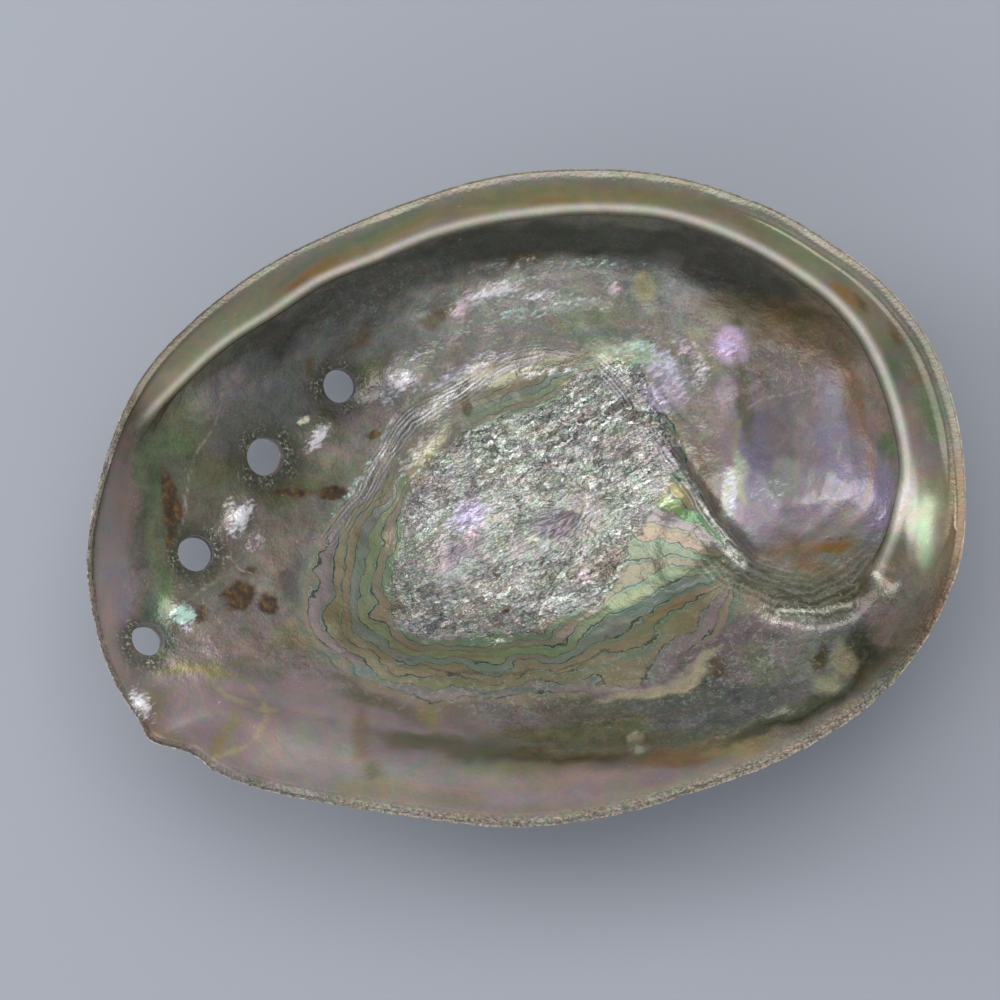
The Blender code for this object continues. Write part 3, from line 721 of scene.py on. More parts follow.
HOLE_SIDE_PAINT = [
    ("lilac", 112, 560, 18, 100, 0, 0.5), ("blush", 105, 620, 14, 50, 10, 0.6),
    ("blush", 128, 480, 18, 50, -5, 0.5), ("sage", 160, 560, 13, 90, -3, 0.6),
    ("green", 150, 470, 10, 40, 0, 0.5), ("olive", 290, 492, 46, 11, 12, 0.8),
    ("sage", 180, 430, 46, 22, 40, 0.5), ("mauve", 215, 398, 34, 18, 40, 0.6),
    ("green", 168, 440, 16, 14, 0, 0.5), ("olive", 240, 430, 16, 22, 0, 0.4),
    ("slate", 250, 400, 60, 34, 35, 0.5), ("mauve", 360, 410, 26, 16, 0, 0.4),
    ("olive", 372, 370, 22, 10, 40, 0.6), ("olive", 210, 470, 22, 16, 0, 0.6),
    ("mauve", 236, 520, 30, 14, 50, 0.4), ("blush", 270, 560, 30, 18, 50, 0.6),
    ("slate", 300, 585, 22, 30, 0, 0.7), ("silver", 262, 598, 10, 16, 0, 0.4),
    ("blush", 236, 645, 34, 14, 5, 0.6), ("mauve", 205, 650, 14, 16, 0, 0.6),
    ("gold", 300, 640, 26, 14, 0, 0.5), ("olive", 240, 672, 60, 8, 6, 0.6),
    ("teal", 158, 625, 12, 40, 8, 0.7), ("green", 165, 590, 8, 30, 5, 0.6),
    ("sage", 330, 470, 34, 12, 20, 0.4), ("blush", 322, 455, 24, 10, 15, 0.4),
]
# The olive brown and dark olive strokes along the crease of the flare are painted shade in the crease.
FLARE_PAINT = [
    ("mauve", 280, 725, 150, 60, -8, 0.7), ("blush", 200, 690, 46, 26, -20, 0.6),
    ("mauve", 210, 705, 34, 22, 0, 0.6), ("gold", 150, 705, 14, 14, 0, 0.6),
    ("clay", 165, 735, 24, 10, -20, 0.5), ("olive_gold", 223, 736, 7, 32, -38, 0.8),
    ("olive_gold", 200, 672, 50, 5, -6, 0.7), ("blush", 280, 740, 40, 30, 0, 0.5),
    ("silver", 320, 750, 50, 34, 0, 0.5), ("clay", 360, 742, 9, 34, 5, 0.5),
    ("olive", 372, 775, 5, 9, -15, 0.9), ("gold", 375, 792, 40, 10, -6, 0.5),
    ("olive", 385, 702, 46, 10, -22, 0.6), ("mauve", 420, 735, 50, 22, -5, 0.5),
    ("silver", 450, 775, 80, 20, -4, 0.6), ("blush", 470, 800, 90, 14, -3, 0.6),
    ("mauve", 500, 715, 46, 20, 0, 0.6), ("olive_gold", 430, 715, 8, 18, 0, 0.6),
    ("olive", 440, 745, 60, 8, -8, 0.7), ("olive", 600, 735, 110, 12, 0, 0.8),
    ("olive_brown", 570, 752, 80, 5, 0, 1), ("gold", 530, 768, 60, 8, 0, 0.6),
    ("blush", 580, 788, 110, 18, 3, 0.8), ("lilac", 540, 800, 60, 10, 0, 0.4),
    ("mauve", 640, 780, 60, 10, 8, 0.5), ("clay", 700, 752, 66, 10, 10, 0.9),
    ("gold", 745, 745, 40, 12, 12, 0.6), ("cream", 637, 740, 9, 5, 0, 0.8), ("olive", 640, 752, 8, 6, 0, 0.8),
    ("dark_olive", 790, 716, 66, 7, 24, 0.9), ("dark_olive", 725, 742, 30, 6, 12, 0.6),
]
# The thin dark olive stroke just below the hook is painted shade under its edge.
SPIRE_SIDE_PAINT = [
    ("mauve", 745, 640, 62, 40, 10, 0.7), ("blush", 742, 600, 34, 16, -30, 0.6),
    ("silver", 800, 660, 50, 24, 0, 0.5), ("dark_olive", 872, 652, 34, 24, 40, 0.9),
    ("dark_olive", 830, 700, 50, 10, 25, 0.7), ("cream", 846, 658, 12, 18, 20, 0.9),
    ("cream", 828, 682, 14, 9, 20, 0.8), ("olive_brown", 822, 655, 7, 14, 0, 0.9),
    ("olive_brown", 868, 678, 8, 14, 10, 0.8), ("slate", 730, 706, 66, 22, 14, 0.6),
    ("cream", 655, 688, 54, 6, 14, 0.9), ("cream", 700, 668, 26, 5, 45, 0.8),
    ("mauve", 640, 676, 46, 16, 18, 0.7), ("olive_brown", 716, 672, 14, 10, 0, 0.6),
    ("sage", 760, 660, 14, 20, 30, 0.5), ("olive_brown", 856, 600, 26, 18, 20, 0.8),
    ("dark_olive", 800, 615, 40, 6, -5, 0.7), ("blush", 888, 622, 18, 20, 0, 0.7),
    ("mauve", 870, 612, 20, 12, 0, 0.5), ("sage", 900, 680, 30, 10, 45, 0.6),
    ("rust", 900, 660, 10, 22, -30, 0.5),
]
# The two silver spots in the core and the gold one at the core's right edge are painted glints.
SCAR_PAINT = [
    ("cream", 425, 466, 11, 30, -28, 0.9), ("ochre", 360, 535, 6, 14, 10, 1),
    ("ochre", 466, 403, 7, 13, -20, 1), ("olive_brown", 330, 612, 12, 9, 20, 0.9),
    ("clay", 378, 610, 26, 14, 10, 0.6), ("sage", 370, 560, 22, 30, 0, 0.6),
    ("blush", 345, 575, 14, 30, 10, 0.6), ("blush", 400, 500, 26, 14, 50, 0.4),
    ("green", 405, 485, 8, 12, 0, 0.6), ("slate", 540, 372, 30, 10, 0, 0.5),
    ("silver", 470, 410, 20, 22, 40, 0.5), ("mauve", 557, 528, 24, 16, 0, 0.8),
    ("mauve", 460, 552, 30, 14, 45, 0.6), ("lilac", 470, 515, 12, 18, 0, 0.9),
    ("silver", 590, 585, 18, 10, 0, 0.8), ("silver", 428, 626, 18, 7, 0, 0.9),
    ("charcoal", 450, 585, 24, 14, 0, 0.4), ("clay", 600, 560, 40, 12, 30, 0.4),
    ("rust", 507, 611, 3, 3, 0, 1), ("gold", 671, 500, 14, 17, 0, 1), ("teal", 690, 522, 30, 6, -5, 0.7),
    ("green", 640, 575, 60, 10, 12, 0.6), ("blush", 660, 550, 50, 7, 10, 0.5),
    ("teal", 620, 610, 60, 6, 12, 0.6), ("gold", 610, 620, 70, 4, 10, 0.4),
    ("green", 500, 648, 60, 8, 2, 0.6), ("clay", 400, 645, 30, 8, -10, 0.6),
    ("teal", 440, 686, 50, 6, -5, 0.9), ("blush", 350, 655, 40, 8, -20, 0.6),
    ("green", 460, 665, 60, 6, -4, 0.5),
]

SHADE_PAINT = [
    ("deep_olive", 178, 432, 30, 26, -60, 0.8), ("deep_olive", 160, 470, 40, 12, -85, 0.7),
    ("slate", 290, 330, 60, 26, 38, 0.7), ("charcoal", 250, 375, 30, 12, 40, 0.5),
    ("mauve", 262, 385, 24, 14, 30, 0.5), ("deep_olive", 215, 410, 34, 12, 60, 0.5),
    ("deep_olive", 340, 388, 34, 30, 0, 0.5), ("deep_olive", 267, 462, 36, 34, 0, 0.5),
    ("deep_olive", 198, 557, 30, 30, 0, 0.5), ("charcoal", 360, 330, 36, 10, 30, 0.6),
    ("slate", 400, 350, 36, 14, 30, 0.5), ("deep_olive", 445, 250, 26, 10, -80, 0.5),
    ("charcoal", 533, 270, 7, 14, 10, 0.7), ("charcoal", 437, 305, 9, 9, 0, 0.8),
    ("olive_brown", 360, 335, 20, 12, 20, 0.6), ("olive_brown", 310, 365, 5, 9, -30, 0.9),
    ("slate", 600, 240, 60, 8, 0, 0.5), ("slate", 690, 300, 26, 30, 0, 0.5),
    ("olive_grey", 740, 300, 40, 24, -30, 0.6), ("clay", 800, 335, 40, 14, -40, 0.4),
    ("clay_grey", 840, 400, 40, 14, -70, 0.6), ("clay", 760, 390, 30, 16, 60, 0.3),
    ("olive_brown", 705, 470, 40, 4, -78, 0.5),
]
# The silver, mint and white strokes at the end are a painted highlight on the lip's right end; the rest are
# its colours.
LIP_SHADE = [
    ("cream_grey", 158, 392, 26, 9, 45, 0.7), ("sage", 215, 352, 40, 10, 40, 0.7),
    ("olive_gold", 190, 372, 30, 5, 43, 0.5), ("sage", 262, 313, 34, 8, 35, 0.7),
    ("teal", 300, 268, 30, 3, 34, 0.5), ("ochre", 318, 270, 22, 6, 27, 0.6),
    ("rust", 300, 280, 12, 3, 30, 0.5), ("blush", 352, 262, 14, 5, 27, 0.7),
    ("blush", 400, 240, 40, 6, 22, 0.6), ("green", 385, 222, 50, 6, 24, 0.7),
    ("green", 470, 200, 44, 6, 14, 0.6), ("olive_brown", 425, 205, 30, 4, 18, 0.9),
    ("olive_brown", 480, 190, 40, 2.5, 12, 0.8), ("clay", 560, 182, 50, 2.5, 4, 0.7),
    ("green", 530, 193, 44, 4, 2, 0.6), ("sage", 600, 198, 40, 6, 0, 0.6), ("ochre", 560, 203, 40, 4, 2, 0.6),
    ("gold", 500, 209, 40, 4, 8, 0.6), ("clay", 640, 190, 50, 4, -6, 0.5),
    ("olive_gold", 650, 203, 36, 4, -6, 0.5), ("green", 704, 200, 20, 4, -14, 0.7),
    ("clay", 735, 212, 40, 4, -20, 0.7), ("blush", 720, 225, 34, 4, -18, 0.5),
    ("sage", 790, 246, 44, 9, -35, 0.6), ("olive_gold", 770, 246, 40, 3, -30, 0.4),
    ("ochre", 846, 296, 16, 6, -40, 0.8), ("olive_gold", 560, 193, 120, 10, 0, 0.6),
    ("olive_gold", 410, 228, 80, 10, 24, 0.5), ("olive_brown", 862, 304, 12, 3, -60, 0.8),
    ("sage", 880, 330, 22, 6, -52, 0.5), ("rust", 897, 336, 9, 4, -50, 0.7),
    ("green", 893, 365, 18, 5, -62, 0.6), ("mauve", 905, 380, 16, 10, -70, 0.4),
    ("clay", 916, 380, 16, 4, 0, 0.6), ("green", 930, 420, 26, 12, -80, 0.6),
    ("blush", 915, 440, 30, 12, -85, 0.5), ("mauve", 925, 450, 26, 10, -80, 0.5),
    ("silver", 905, 470, 40, 8, 88, 0.5), ("mint", 928, 535, 34, 9, 88, 0.95),
    ("white", 915, 505, 40, 6, 88, 0.8),
]


# Brown stains, and glints: painted highlights where the nacre is brightest. Each glint ends with its colour,
# from 0 to 1.
STAINS = [
    (169, 508, 30, 10, -84, 1.1), (172, 535, 20, 5, -88, 0.9), (238, 597, 18, 12, 30, 1.15),
    (246, 573, 13, 7, 20, 0.7), (271, 602, 10, 9, 0, 1.15), (198, 612, 9, 9, 0, 0.8),
    (331, 493, 14, 7, 10, 1.1), (290, 494, 22, 4, 2, 0.9), (372, 436, 9, 4, 0, 0.8),
    (361, 534, 13, 6, -60, 0.8), (466, 402, 13, 6, -70, 0.85), (436, 440, 9, 3, -80, 0.5),
    (507, 611, 3, 3, 0, 0.9), (838, 537, 16, 3, 10, 0.6), (850, 562, 14, 5, -20, 0.4),
    (712, 512, 12, 5, -55, 0.5), (905, 570, 14, 18, 0, 0.35),
]
GLINTS = [
    (492, 296, 34, 7, 22, 0.75, 0.1), (535, 292, 24, 6, 10, 0.6, 0.0), (462, 308, 14, 7, 55, 0.8, 0.3),
    (520, 314, 54, 9, 12, 0.42, 0.5), (575, 300, 40, 9, 4, 0.38, 0.0), (614, 286, 6, 6, 0, 0.8, 0.3),
    (500, 270, 30, 6, 15, 0.4, 0.0), (590, 262, 50, 5, -4, 0.45, 0.5), (636, 346, 34, 9, 3, 0.55, 0.5),
    (668, 368, 34, 20, -50, 0.58, 0.7), (655, 398, 16, 10, -50, 0.7, 0.75), (703, 370, 16, 9, -84, 0.62, 0.1),
    (545, 372, 34, 7, 10, 0.5, 0.0), (688, 352, 16, 8, -20, 0.6, 0.3), (440, 402, 14, 6, 42, 0.5, 0.0),
    (403, 380, 12, 10, 45, 0.9, 0.1), (392, 396, 14, 10, 30, 0.55, 0.7), (418, 352, 20, 6, 30, 0.4, 0.0),
    (316, 440, 13, 6, 50, 1.0, 0.1), (303, 421, 7, 4, 45, 0.9, 1.0), (240, 517, 16, 8, 58, 1.0, 0.05),
    (228, 505, 6, 4, 55, 0.8, 1.0), (258, 540, 14, 9, 40, 0.5, 0.3), (180, 612, 9, 11, 60, 1.0, 0.5),
    (186, 625, 6, 4, -30, 0.8, 0.9), (142, 704, 14, 8, -62, 0.9, 0.05), (150, 716, 6, 6, 0, 0.6, 0.35),
    (734, 488, 28, 10, 88, 0.55, 0.75), (728, 486, 16, 4, 88, 0.4, 0.5), (772, 488, 20, 12, 20, 0.3, 0.7),
    (729, 347, 10, 7, 0, 0.88, 0.8), (450, 372, 44, 4, 30, 0.6, 0.75), (492, 358, 40, 4, 12, 0.5, 0.1),
    (352, 482, 36, 4, 58, 0.55, 0.5), (700, 500, 44, 4, -56, 0.5, 0.0), (466, 512, 18, 12, 30, 0.7, 0.75),
    (478, 524, 14, 8, 30, 0.6, 0.3), (590, 408, 60, 8, 20, 0.35, 0.0), (650, 440, 20, 26, 0, 0.45, 0.3),
    (640, 480, 24, 18, 0, 0.4, 0.5), (585, 578, 14, 10, 0, 0.5, 0.3), (430, 620, 20, 6, 0, 0.4, 0.0),
    (665, 500, 13, 13, 0, 0.5, 1.0), (418, 456, 27, 9, 48, 0.6, 0.95),
]

# Fine lines: the edges of layers, scratches and creases. Each has its colour, half width in millimetres
# and strength, and then the pixels of its course, two numbers to a corner.
# The white, silver and lilac lines along the border's rope and the hook are painted highlights, and the dark
# olive and olive brown lines along the crease of the flare are painted shade.
TRACES = [
    ("olive_gold", 0.7, 0.75, 246, 686, 258, 698, 262, 714, 254, 735, 237, 751, 214, 762),
    ("olive_gold", 0.6, 0.6, 158, 672, 178, 667, 200, 672, 214, 688, 224, 700, 250, 706, 275, 708),
    ("olive", 1.3, 0.7, 158, 655, 190, 665, 225, 668, 252, 660, 270, 648, 290, 642, 312, 652, 335, 668,
     360, 680),
    ("cream_grey", 0.4, 0.6, 252, 660, 268, 648, 284, 642, 296, 643),
    ("green", 0.7, 0.7, 312, 650, 335, 666, 365, 678, 400, 684),
    ("teal", 0.7, 0.9, 322, 540, 310, 570, 304, 600, 305, 625, 316, 648, 345, 664, 380, 676),
    ("teal", 0.5, 0.8, 470, 690, 520, 688, 560, 684, 600, 672, 640, 655, 680, 630),
    ("teal", 0.45, 0.8, 615, 612, 650, 606, 690, 594, 725, 575),
    ("teal", 0.45, 0.8, 625, 588, 655, 582, 690, 574, 722, 566),
    ("rust", 0.35, 0.7, 600, 626, 640, 622, 680, 610, 715, 592),
    ("green", 0.6, 0.7, 560, 650, 600, 646, 640, 634, 690, 612),
    ("dark_olive", 0.35, 0.7, 400, 660, 440, 668, 500, 672, 560, 668, 610, 655),
    ("rust", 0.35, 0.6, 410, 648, 450, 655, 510, 660, 560, 654),
    ("dark_olive", 0.35, 0.8, 376, 520, 382, 494, 392, 470, 400, 445, 412, 425, 430, 402, 445, 385),
    ("rust", 0.35, 0.7, 437, 430, 440, 440, 445, 450, 444, 458),
    ("rust", 0.35, 0.7, 372, 512, 374, 526, 380, 538, 392, 545),
    ("cream_grey", 0.35, 0.6, 222, 385, 221, 402, 213, 422, 204, 438, 196, 452, 190, 475, 184, 500,
     180, 540),
    ("cream_grey", 0.3, 0.5, 238, 470, 230, 500, 225, 540, 230, 560),
    ("cream", 0.3, 0.6, 225, 560, 240, 572, 252, 574),
    ("blush", 0.35, 0.7, 258, 576, 270, 580, 280, 572, 286, 565),
    ("olive_gold", 0.7, 0.6, 742, 414, 736, 440, 735, 460, 742, 480, 750, 500),
    ("cream_grey", 0.4, 0.5, 838, 460, 845, 440, 860, 430),
    ("cream_grey", 0.4, 0.5, 842, 480, 835, 500, 820, 520, 800, 540),
    ("clay", 0.8, 0.6, 862, 400, 868, 440, 866, 480, 860, 520),
    ("cream_grey", 0.35, 0.6, 740, 425, 748, 412, 762, 400, 780, 392, 800, 388, 820, 390),
    ("dark_olive", 0.4, 0.8, 690, 492, 705, 512, 722, 535, 740, 555, 770, 570),
    ("silver", 0.4, 0.7, 676, 470, 690, 492, 706, 512, 720, 530),
    ("charcoal", 0.35, 0.8, 643, 388, 655, 402, 668, 420, 678, 440),
    ("charcoal", 0.3, 0.7, 655, 385, 668, 400, 682, 418),
    ("cream_grey", 0.8, 0.7, 595, 694, 640, 692, 670, 682, 690, 668, 704, 655),
    ("dark_olive", 0.9, 0.6, 395, 738, 450, 748, 520, 752, 600, 750, 680, 742, 760, 724, 830, 700),
    ("olive_brown", 0.5, 0.7, 505, 752, 560, 757, 620, 760, 680, 756),
    ("cream_grey", 0.4, 0.6, 180, 600, 200, 590, 222, 580),
    ("cream_grey", 0.5, 0.6, 470, 390, 490, 372, 510, 362),
    ("white", 0.35, 0.7, 380, 440, 400, 415, 425, 392, 455, 372, 480, 362),
    ("white", 0.3, 0.6, 345, 510, 362, 480, 380, 452),
    ("lilac", 0.4, 0.7, 470, 372, 500, 358, 525, 352),
    ("silver", 0.35, 0.6, 720, 545, 745, 562, 780, 582, 815, 588),
    ("silver", 0.3, 0.6, 740, 572, 775, 590, 812, 598, 840, 585),
    ("charcoal", 0.35, 0.7, 730, 556, 760, 576, 800, 590, 835, 580),
]

# Where the whole is darker or lighter, by how much
SHADING = [
    (790, 440, 95, 85, 0, 0.72), (770, 500, 50, 35, 20, 0.72), (560, 790, 150, 30, 4, 0.78),
    (590, 750, 140, 16, 3, 0.80), (890, 615, 45, 60, -40, 0.70), (780, 650, 90, 45, 15, 0.80),
    (140, 500, 30, 80, 0, 0.70), (795, 345, 50, 22, -20, 1.15), (535, 300, 90, 28, 5, 0.98),
    (400, 335, 45, 35, 30, 1.3), (712, 435, 26, 48, 0, 1.42), (365, 415, 26, 18, 40, 0.76),
    (290, 480, 24, 16, 40, 0.8), (225, 545, 22, 18, 50, 0.8), (175, 640, 26, 14, 40, 0.85),
    (350, 445, 14, 26, -40, 1.2), (520, 600, 90, 34, 0, 0.86), (440, 530, 40, 60, 0, 0.94),
    (915, 380, 30, 70, 15, 0.70), (922, 515, 28, 55, 0, 1.15), (220, 360, 28, 60, -50, 1.4),
    (300, 420, 50, 40, 0, 0.95), (250, 650, 60, 30, 0, 0.84), (210, 705, 60, 40, 0, 0.88),
    (655, 595, 50, 36, 0, 0.86), (585, 392, 60, 20, 0, 1.04), (775, 578, 50, 20, 0, 1.36),
    (750, 262, 55, 25, -30, 0.85),
]

# Broad washes that lie under the strokes. The two slate washes along the top are painted shade in the hollow
# under the lip, and the silver wash below them a painted sheen on the upper bowl.
GROUND = [
    ("blush_grey", 307, 730, 244, 98, -8, 0.9), ("blush_grey", 624, 788, 293, 59, 5, 0.9),
    ("olive_grey", 204, 456, 117, 146, 0, 0.9), ("slate", 341, 329, 166, 68, 30, 0.8),
    ("slate", 575, 251, 293, 44, 0, 0.8), ("silver", 526, 300, 127, 44, 5, 0.6),
    ("olive_grey", 624, 725, 234, 44, 4, 0.8), ("slate", 746, 671, 127, 49, 20, 0.7),
    ("blush_grey", 116, 554, 24, 146, 0, 0.8), ("clay_grey", 829, 349, 88, 68, -35, 0.7),
    ("mauve", 800, 456, 98, 88, 0, 0.5), ("blush_grey", 273, 564, 59, 59, 0, 0.4),
]


def linear(colour):
    """A colour from 0 to 255 as light."""
    value = np.array(colour, float) / 255.0
    return np.where(value <= 0.04045, value / 12.92, ((value + 0.055) / 1.055) ** 2.4)


def from_spot(x, y, px, py, long, short, turned):
    """Distance from the middle of a spot given in pixels, which is at least a millimetre across."""
    long, short = max(long * MM_PER_PIXEL, 0.5), max(short * MM_PER_PIXEL, 0.5)
    return from_middle(x, y, on_view([(px, py)])[0], long, short, turned)


def toned(tint, colour, share):
    """A colour mixed into tint."""
    return tint + (linear(colour) - tint) * np.asarray(share)[..., None]


def lay(tint, strokes, where, x=warp_x, y=warp_y):
    """Lays strokes over tint in their order, only where the mask says."""
    for name, *spot, strength in strokes:
        wet = smooth((1.35 - from_spot(x, y, *spot) - 0.22 * ripples) / 0.7)
        tint = toned(tint, NACRE[name], strength * where * wet)
    return tint


upper_side = (side == "lip") | ((side == "roll") & (share < 0.6)) | (side == "rim")
flat_lip = np.where(upper_side, smooth(lipped * 1.8), 0.0)
inside_part = np.where(on_back_side, 0.0, 1.0) * (1.0 - flat_lip)
tint = np.ones(shape.shape) * linear((150, 148, 144))
tint = lay(tint, GROUND, 1.0)
tint = toned(tint, (146, 144, 124), flat_lip)
tint = toned(tint, (206, 206, 198), 0.85 * core)
tint = lay(tint, LIP_PAINT, 0.5 * flat_lip, steady_x, steady_y)
tint = lay(tint, LIP_SHADE, flat_lip, steady_x, steady_y)
tint = lay(tint, SHADE_PAINT, inside_part)
for group in (UNDER_LIP_PAINT, SPIRE_PAINT, HOLE_SIDE_PAINT, FLARE_PAINT, SPIRE_SIDE_PAINT, SCAR_PAINT):
    tint = lay(tint, group, inside_part)

# Painted shade: the side of the lip's rolled edge that faces the bowl, below its rounded top, is painted dark
# olive
within = (1.0 - share) * lip_width
edge_side = np.where(side == "roll", 1.0, np.where(side == "lip", 1.0 - smooth((within - 0.3) / 0.9), 0.0))
roll_shade = edge_side * flat_lip
tint = toned(tint, (70, 66, 40), 0.85 * roll_shade)
# The rim is a thin line of prismatic shell: pale grey beside the lip, dark on the side of the holes, whitish
# where it is broken along the front, and rusty below the spire
rim_fade = np.exp(-((from_rim / (2.3 - 1.6 * hole_side)) ** 2))
rim_part = np.where(side == "rim", 1.0, np.where(side == "lip", rim_fade, 0.0))
rim_tint = np.ones(shape.shape) * linear((150, 149, 144))
rusty = smooth((turned_from_front - 55.0) / 8.0) * (1.0 - smooth((turned_from_front - 88.0) / 12.0))
rim_tint = toned(rim_tint, (104, 94, 82), hole_side)
chipped = 1.0 - smooth((np.abs(turned_from_front - 5.0) - 35.0) / 20.0)
rim_tint = toned(rim_tint, (206, 201, 190), 0.8 * chipped)
rim_tint = toned(rim_tint, (140, 108, 76), 0.8 * rusty)
tint = tint + (rim_tint - tint) * (0.85 * rim_part)[..., None]

# Each vertex keeps the colour and the growth values of the nearest place on the rings
tree = KDTree(shape.shape[0] * shape.shape[1])
for index, spot in enumerate(shape.reshape(-1, 3).tolist()):
    tree.insert(spot, index)
tree.balance()
points = np.zeros(len(shell.data.vertices) * 3)
shell.data.vertices.foreach_get("co", points)
points = (points.reshape(-1, 3) / METRES).tolist()
nearest = np.array([tree.find(point)[1] for point in points])


def keep(name, values):
    """Stores values of the rings on the shell's mesh."""
    values = np.broadcast_to(values, share.shape).reshape(-1)[nearest]
    layer = shell.data.attributes.new(name, "FLOAT", "POINT")
    layer.data.foreach_set("value", values.astype(np.float32))


collar = np.zeros(share.shape)
hole_shade = np.zeros(share.shape)
for (x, y), radius, height in HOLES:
    mouth = seen(np.array([on_back((x, y)) - origin]))
    around = np.hypot(view_x - mouth[0][0], view_y - mouth[1][0])
    ring = np.exp(-(((around - radius - 1.0) / 2.0) ** 2))
    collar = np.maximum(collar, ring * smooth(0.6 + 1.6 * ripples + lumps))
    hole_shade = np.maximum(hole_shade, np.exp(-((np.maximum(around - radius, 0.0) / 3.2) ** 2)))
# Painted shade: the inside is darker round each open hole, where its wall falls into the hole's funnel.
tint = tint * (1.0 - 0.38 * hole_shade * inside_part)[..., None]
# Painted shade: the lip and the top of its rolled edge are painted darker.
facing_up = np.where(side == "lip", 1.0, np.where(side == "roll", 1.0 - smooth(share), 0.0))
tint = tint * (1.0 - 0.22 * facing_up)[..., None]
dim = 1.0 - (1.0 - core) * np.where(on_back_side, 0.0, 1.0)
tint = tint * (1.0 - 0.20 * core)[..., None]
tint = tint * (dim[..., None] + (1.0 - dim)[..., None] * np.array([0.80, 0.76, 0.66]))
crest_highlight = np.where(side == "lip", np.exp(-(((within - 1.8) / 0.9) ** 2)), 0.0)
for px, py, long, short, turned, factor in SHADING:
    shaded = hill(view_x, view_y, on_view([(px, py)])[0], long * MM_PER_PIXEL, short * MM_PER_PIXEL, turned)
    tint = tint * (1.0 + (factor - 1.0) * np.minimum(1.6 * shaded, 1.0))[..., None]
# Painted highlight: a pale cream line along the rounded inner edge of the lip.
tint = toned(tint, (226, 222, 212), 0.7 * crest_highlight * flat_lip)
line_away = np.full(share.shape, 9.0)
line_tint = np.zeros(shape.shape)
line_strength = np.zeros(share.shape)
for name, width, strength, *course in TRACES:
    corners = on_view(zip(course[::2], course[1::2]))
    trace_away, _ = along_path(steady_x, steady_y, corners, [1.0] * len(corners))
    trace_away = np.abs(trace_away) / width
    nearer = trace_away < line_away
    line_away = np.where(nearer, trace_away, line_away)
    line_tint[nearer] = 0.8 * linear(NACRE[name])
    line_strength[nearer] = strength


def oval(spot, soft):
    """How far inside an oval spot each place is, with a soft edge."""
    return spot[5] * np.clip(1.0 - (from_spot(steady_x, steady_y, *spot[:5]) - 0.4) / soft, 0.0, 1.0)


stain = np.zeros(share.shape)
for spot in STAINS:
    stain = np.maximum(stain, oval(spot, 1.4))
glint = np.zeros(share.shape)
glint_hue = np.zeros(share.shape)
for spot in GLINTS:
    bright = oval(spot, 1.6)
    glint_hue = np.where(bright > glint, spot[6], glint_hue)
    glint = np.maximum(glint, bright)


def keep_colour(name, values):
    """Stores colours of the rings on the shell's mesh."""
    painted = np.ones((len(nearest), 4), np.float32)
    painted[:, :3] = values.reshape(-1, 3)[nearest]
    layer = shell.data.color_attributes.new(name, "FLOAT_COLOR", "POINT")
    layer.data.foreach_set("color", painted.ravel())


keep_colour("tint", tint)
keep("core", core)
keep("coarse", smooth((view_y + 2.0 + 0.2 * (view_x - 5.0)) / 16.0))
RUBBED = [
    (574, 522, 8.0, 4.5, 10), (455, 555, 6.0, 8.0, -10), (470, 516, 4.0, 3.0, 30), (532, 548, 5.0, 2.0, 20),
]
rubbed = 0.0
for px, py, *oval_form in RUBBED:
    rubbed = rubbed + hill(view_x, view_y, on_view([(px, py)])[0], *oval_form)
keep("rubbed", np.clip(1.5 * rubbed, 0.0, 1.0))
keep("terraced", terraced)
keep("stair", stair)
keep("rope", roped)
keep("rope_away", rope_away)
keep("hook", hooked)
keep("hook_away", hook_away)
keep("outside", np.where(on_back_side, 1.0, 0.0))
keep("age", age)
keep("crust", np.where(on_back_side, np.maximum(crust, smooth((share - 0.93) / 0.04)), crust))
keep("edging", np.clip(edging, 0.0, 1.0))
keep("collar", collar * inside_part)
keep("calm", np.maximum(calm, flat_lip))
keep("polished", flat_lip)
keep("stain", stain * inside_part)
keep("glint", glint * inside_part)
keep("glint_hue", glint_hue)
keep("line_away", line_away)
keep("line_strength", line_strength * inside_part)
keep_colour("line_tint", line_tint)
CHALKY = [
    (44.0, -33.0, 22.0, 9.0, 20, 1.0), (-14.0, -40.0, 24.0, 4.0, -5, 1.0), (10.0, -37.0, 26.0, 4.0, 12, 0.8),
    (48.0, 26.0, 14.0, 6.0, -20, 0.6), (-30.0, 42.0, 16.0, 6.0, 25, 0.5),
]
chalk = 0.9 * hooked
for x, y, long, short, turned, strength in CHALKY:
    chalk = chalk + strength * hill(view_x, view_y, (x, y), long, short, turned)
keep("chalk", np.clip(chalk, 0.0, 1.0) * inside_part)

# The nacre as a material: the laid colours, a play of pink and green that follows the layers, fine lines on
# the terraces, crushed foil on the core, and a brick red crust on the back.
nacre = bpy.data.materials.new("nacre")
nacre.use_nodes = True
nodes, links = nacre.node_tree.nodes, nacre.node_tree.links
shader = nodes["Principled BSDF"]


def join(socket, value):
    """Sets a socket, or links another socket to it."""
    if isinstance(value, bpy.types.NodeSocket):
        links.new(value, socket)
    else:
        socket.default_value = value


def kept(name):
    """A value that the mesh keeps."""
    node = nodes.new("ShaderNodeAttribute")
    node.attribute_name = name
    return node.outputs["Fac"]


def worked(kind, operation, *values):
    """One step of arithmetic, of kind Math on numbers or VectorMath on vectors."""
    node = nodes.new("ShaderNode" + kind)
    node.operation = operation
    for socket, value in zip(node.inputs, values):
        join(socket, value)
    return node.outputs


def times(first, *others):
    """Values multiplied together."""
    for value in others:
        first = worked("Math", "MULTIPLY", first, value)[0]
    return first


def plus(one, other):
    """Two values added."""
    return worked("Math", "ADD", one, other)[0]


def less(one, other):
    """One value with the other taken off."""
    return worked("Math", "SUBTRACT", one, other)[0]


def part_of(value):
    """What a value has beyond its last whole number."""
    return worked("Math", "FRACT", value)[0]


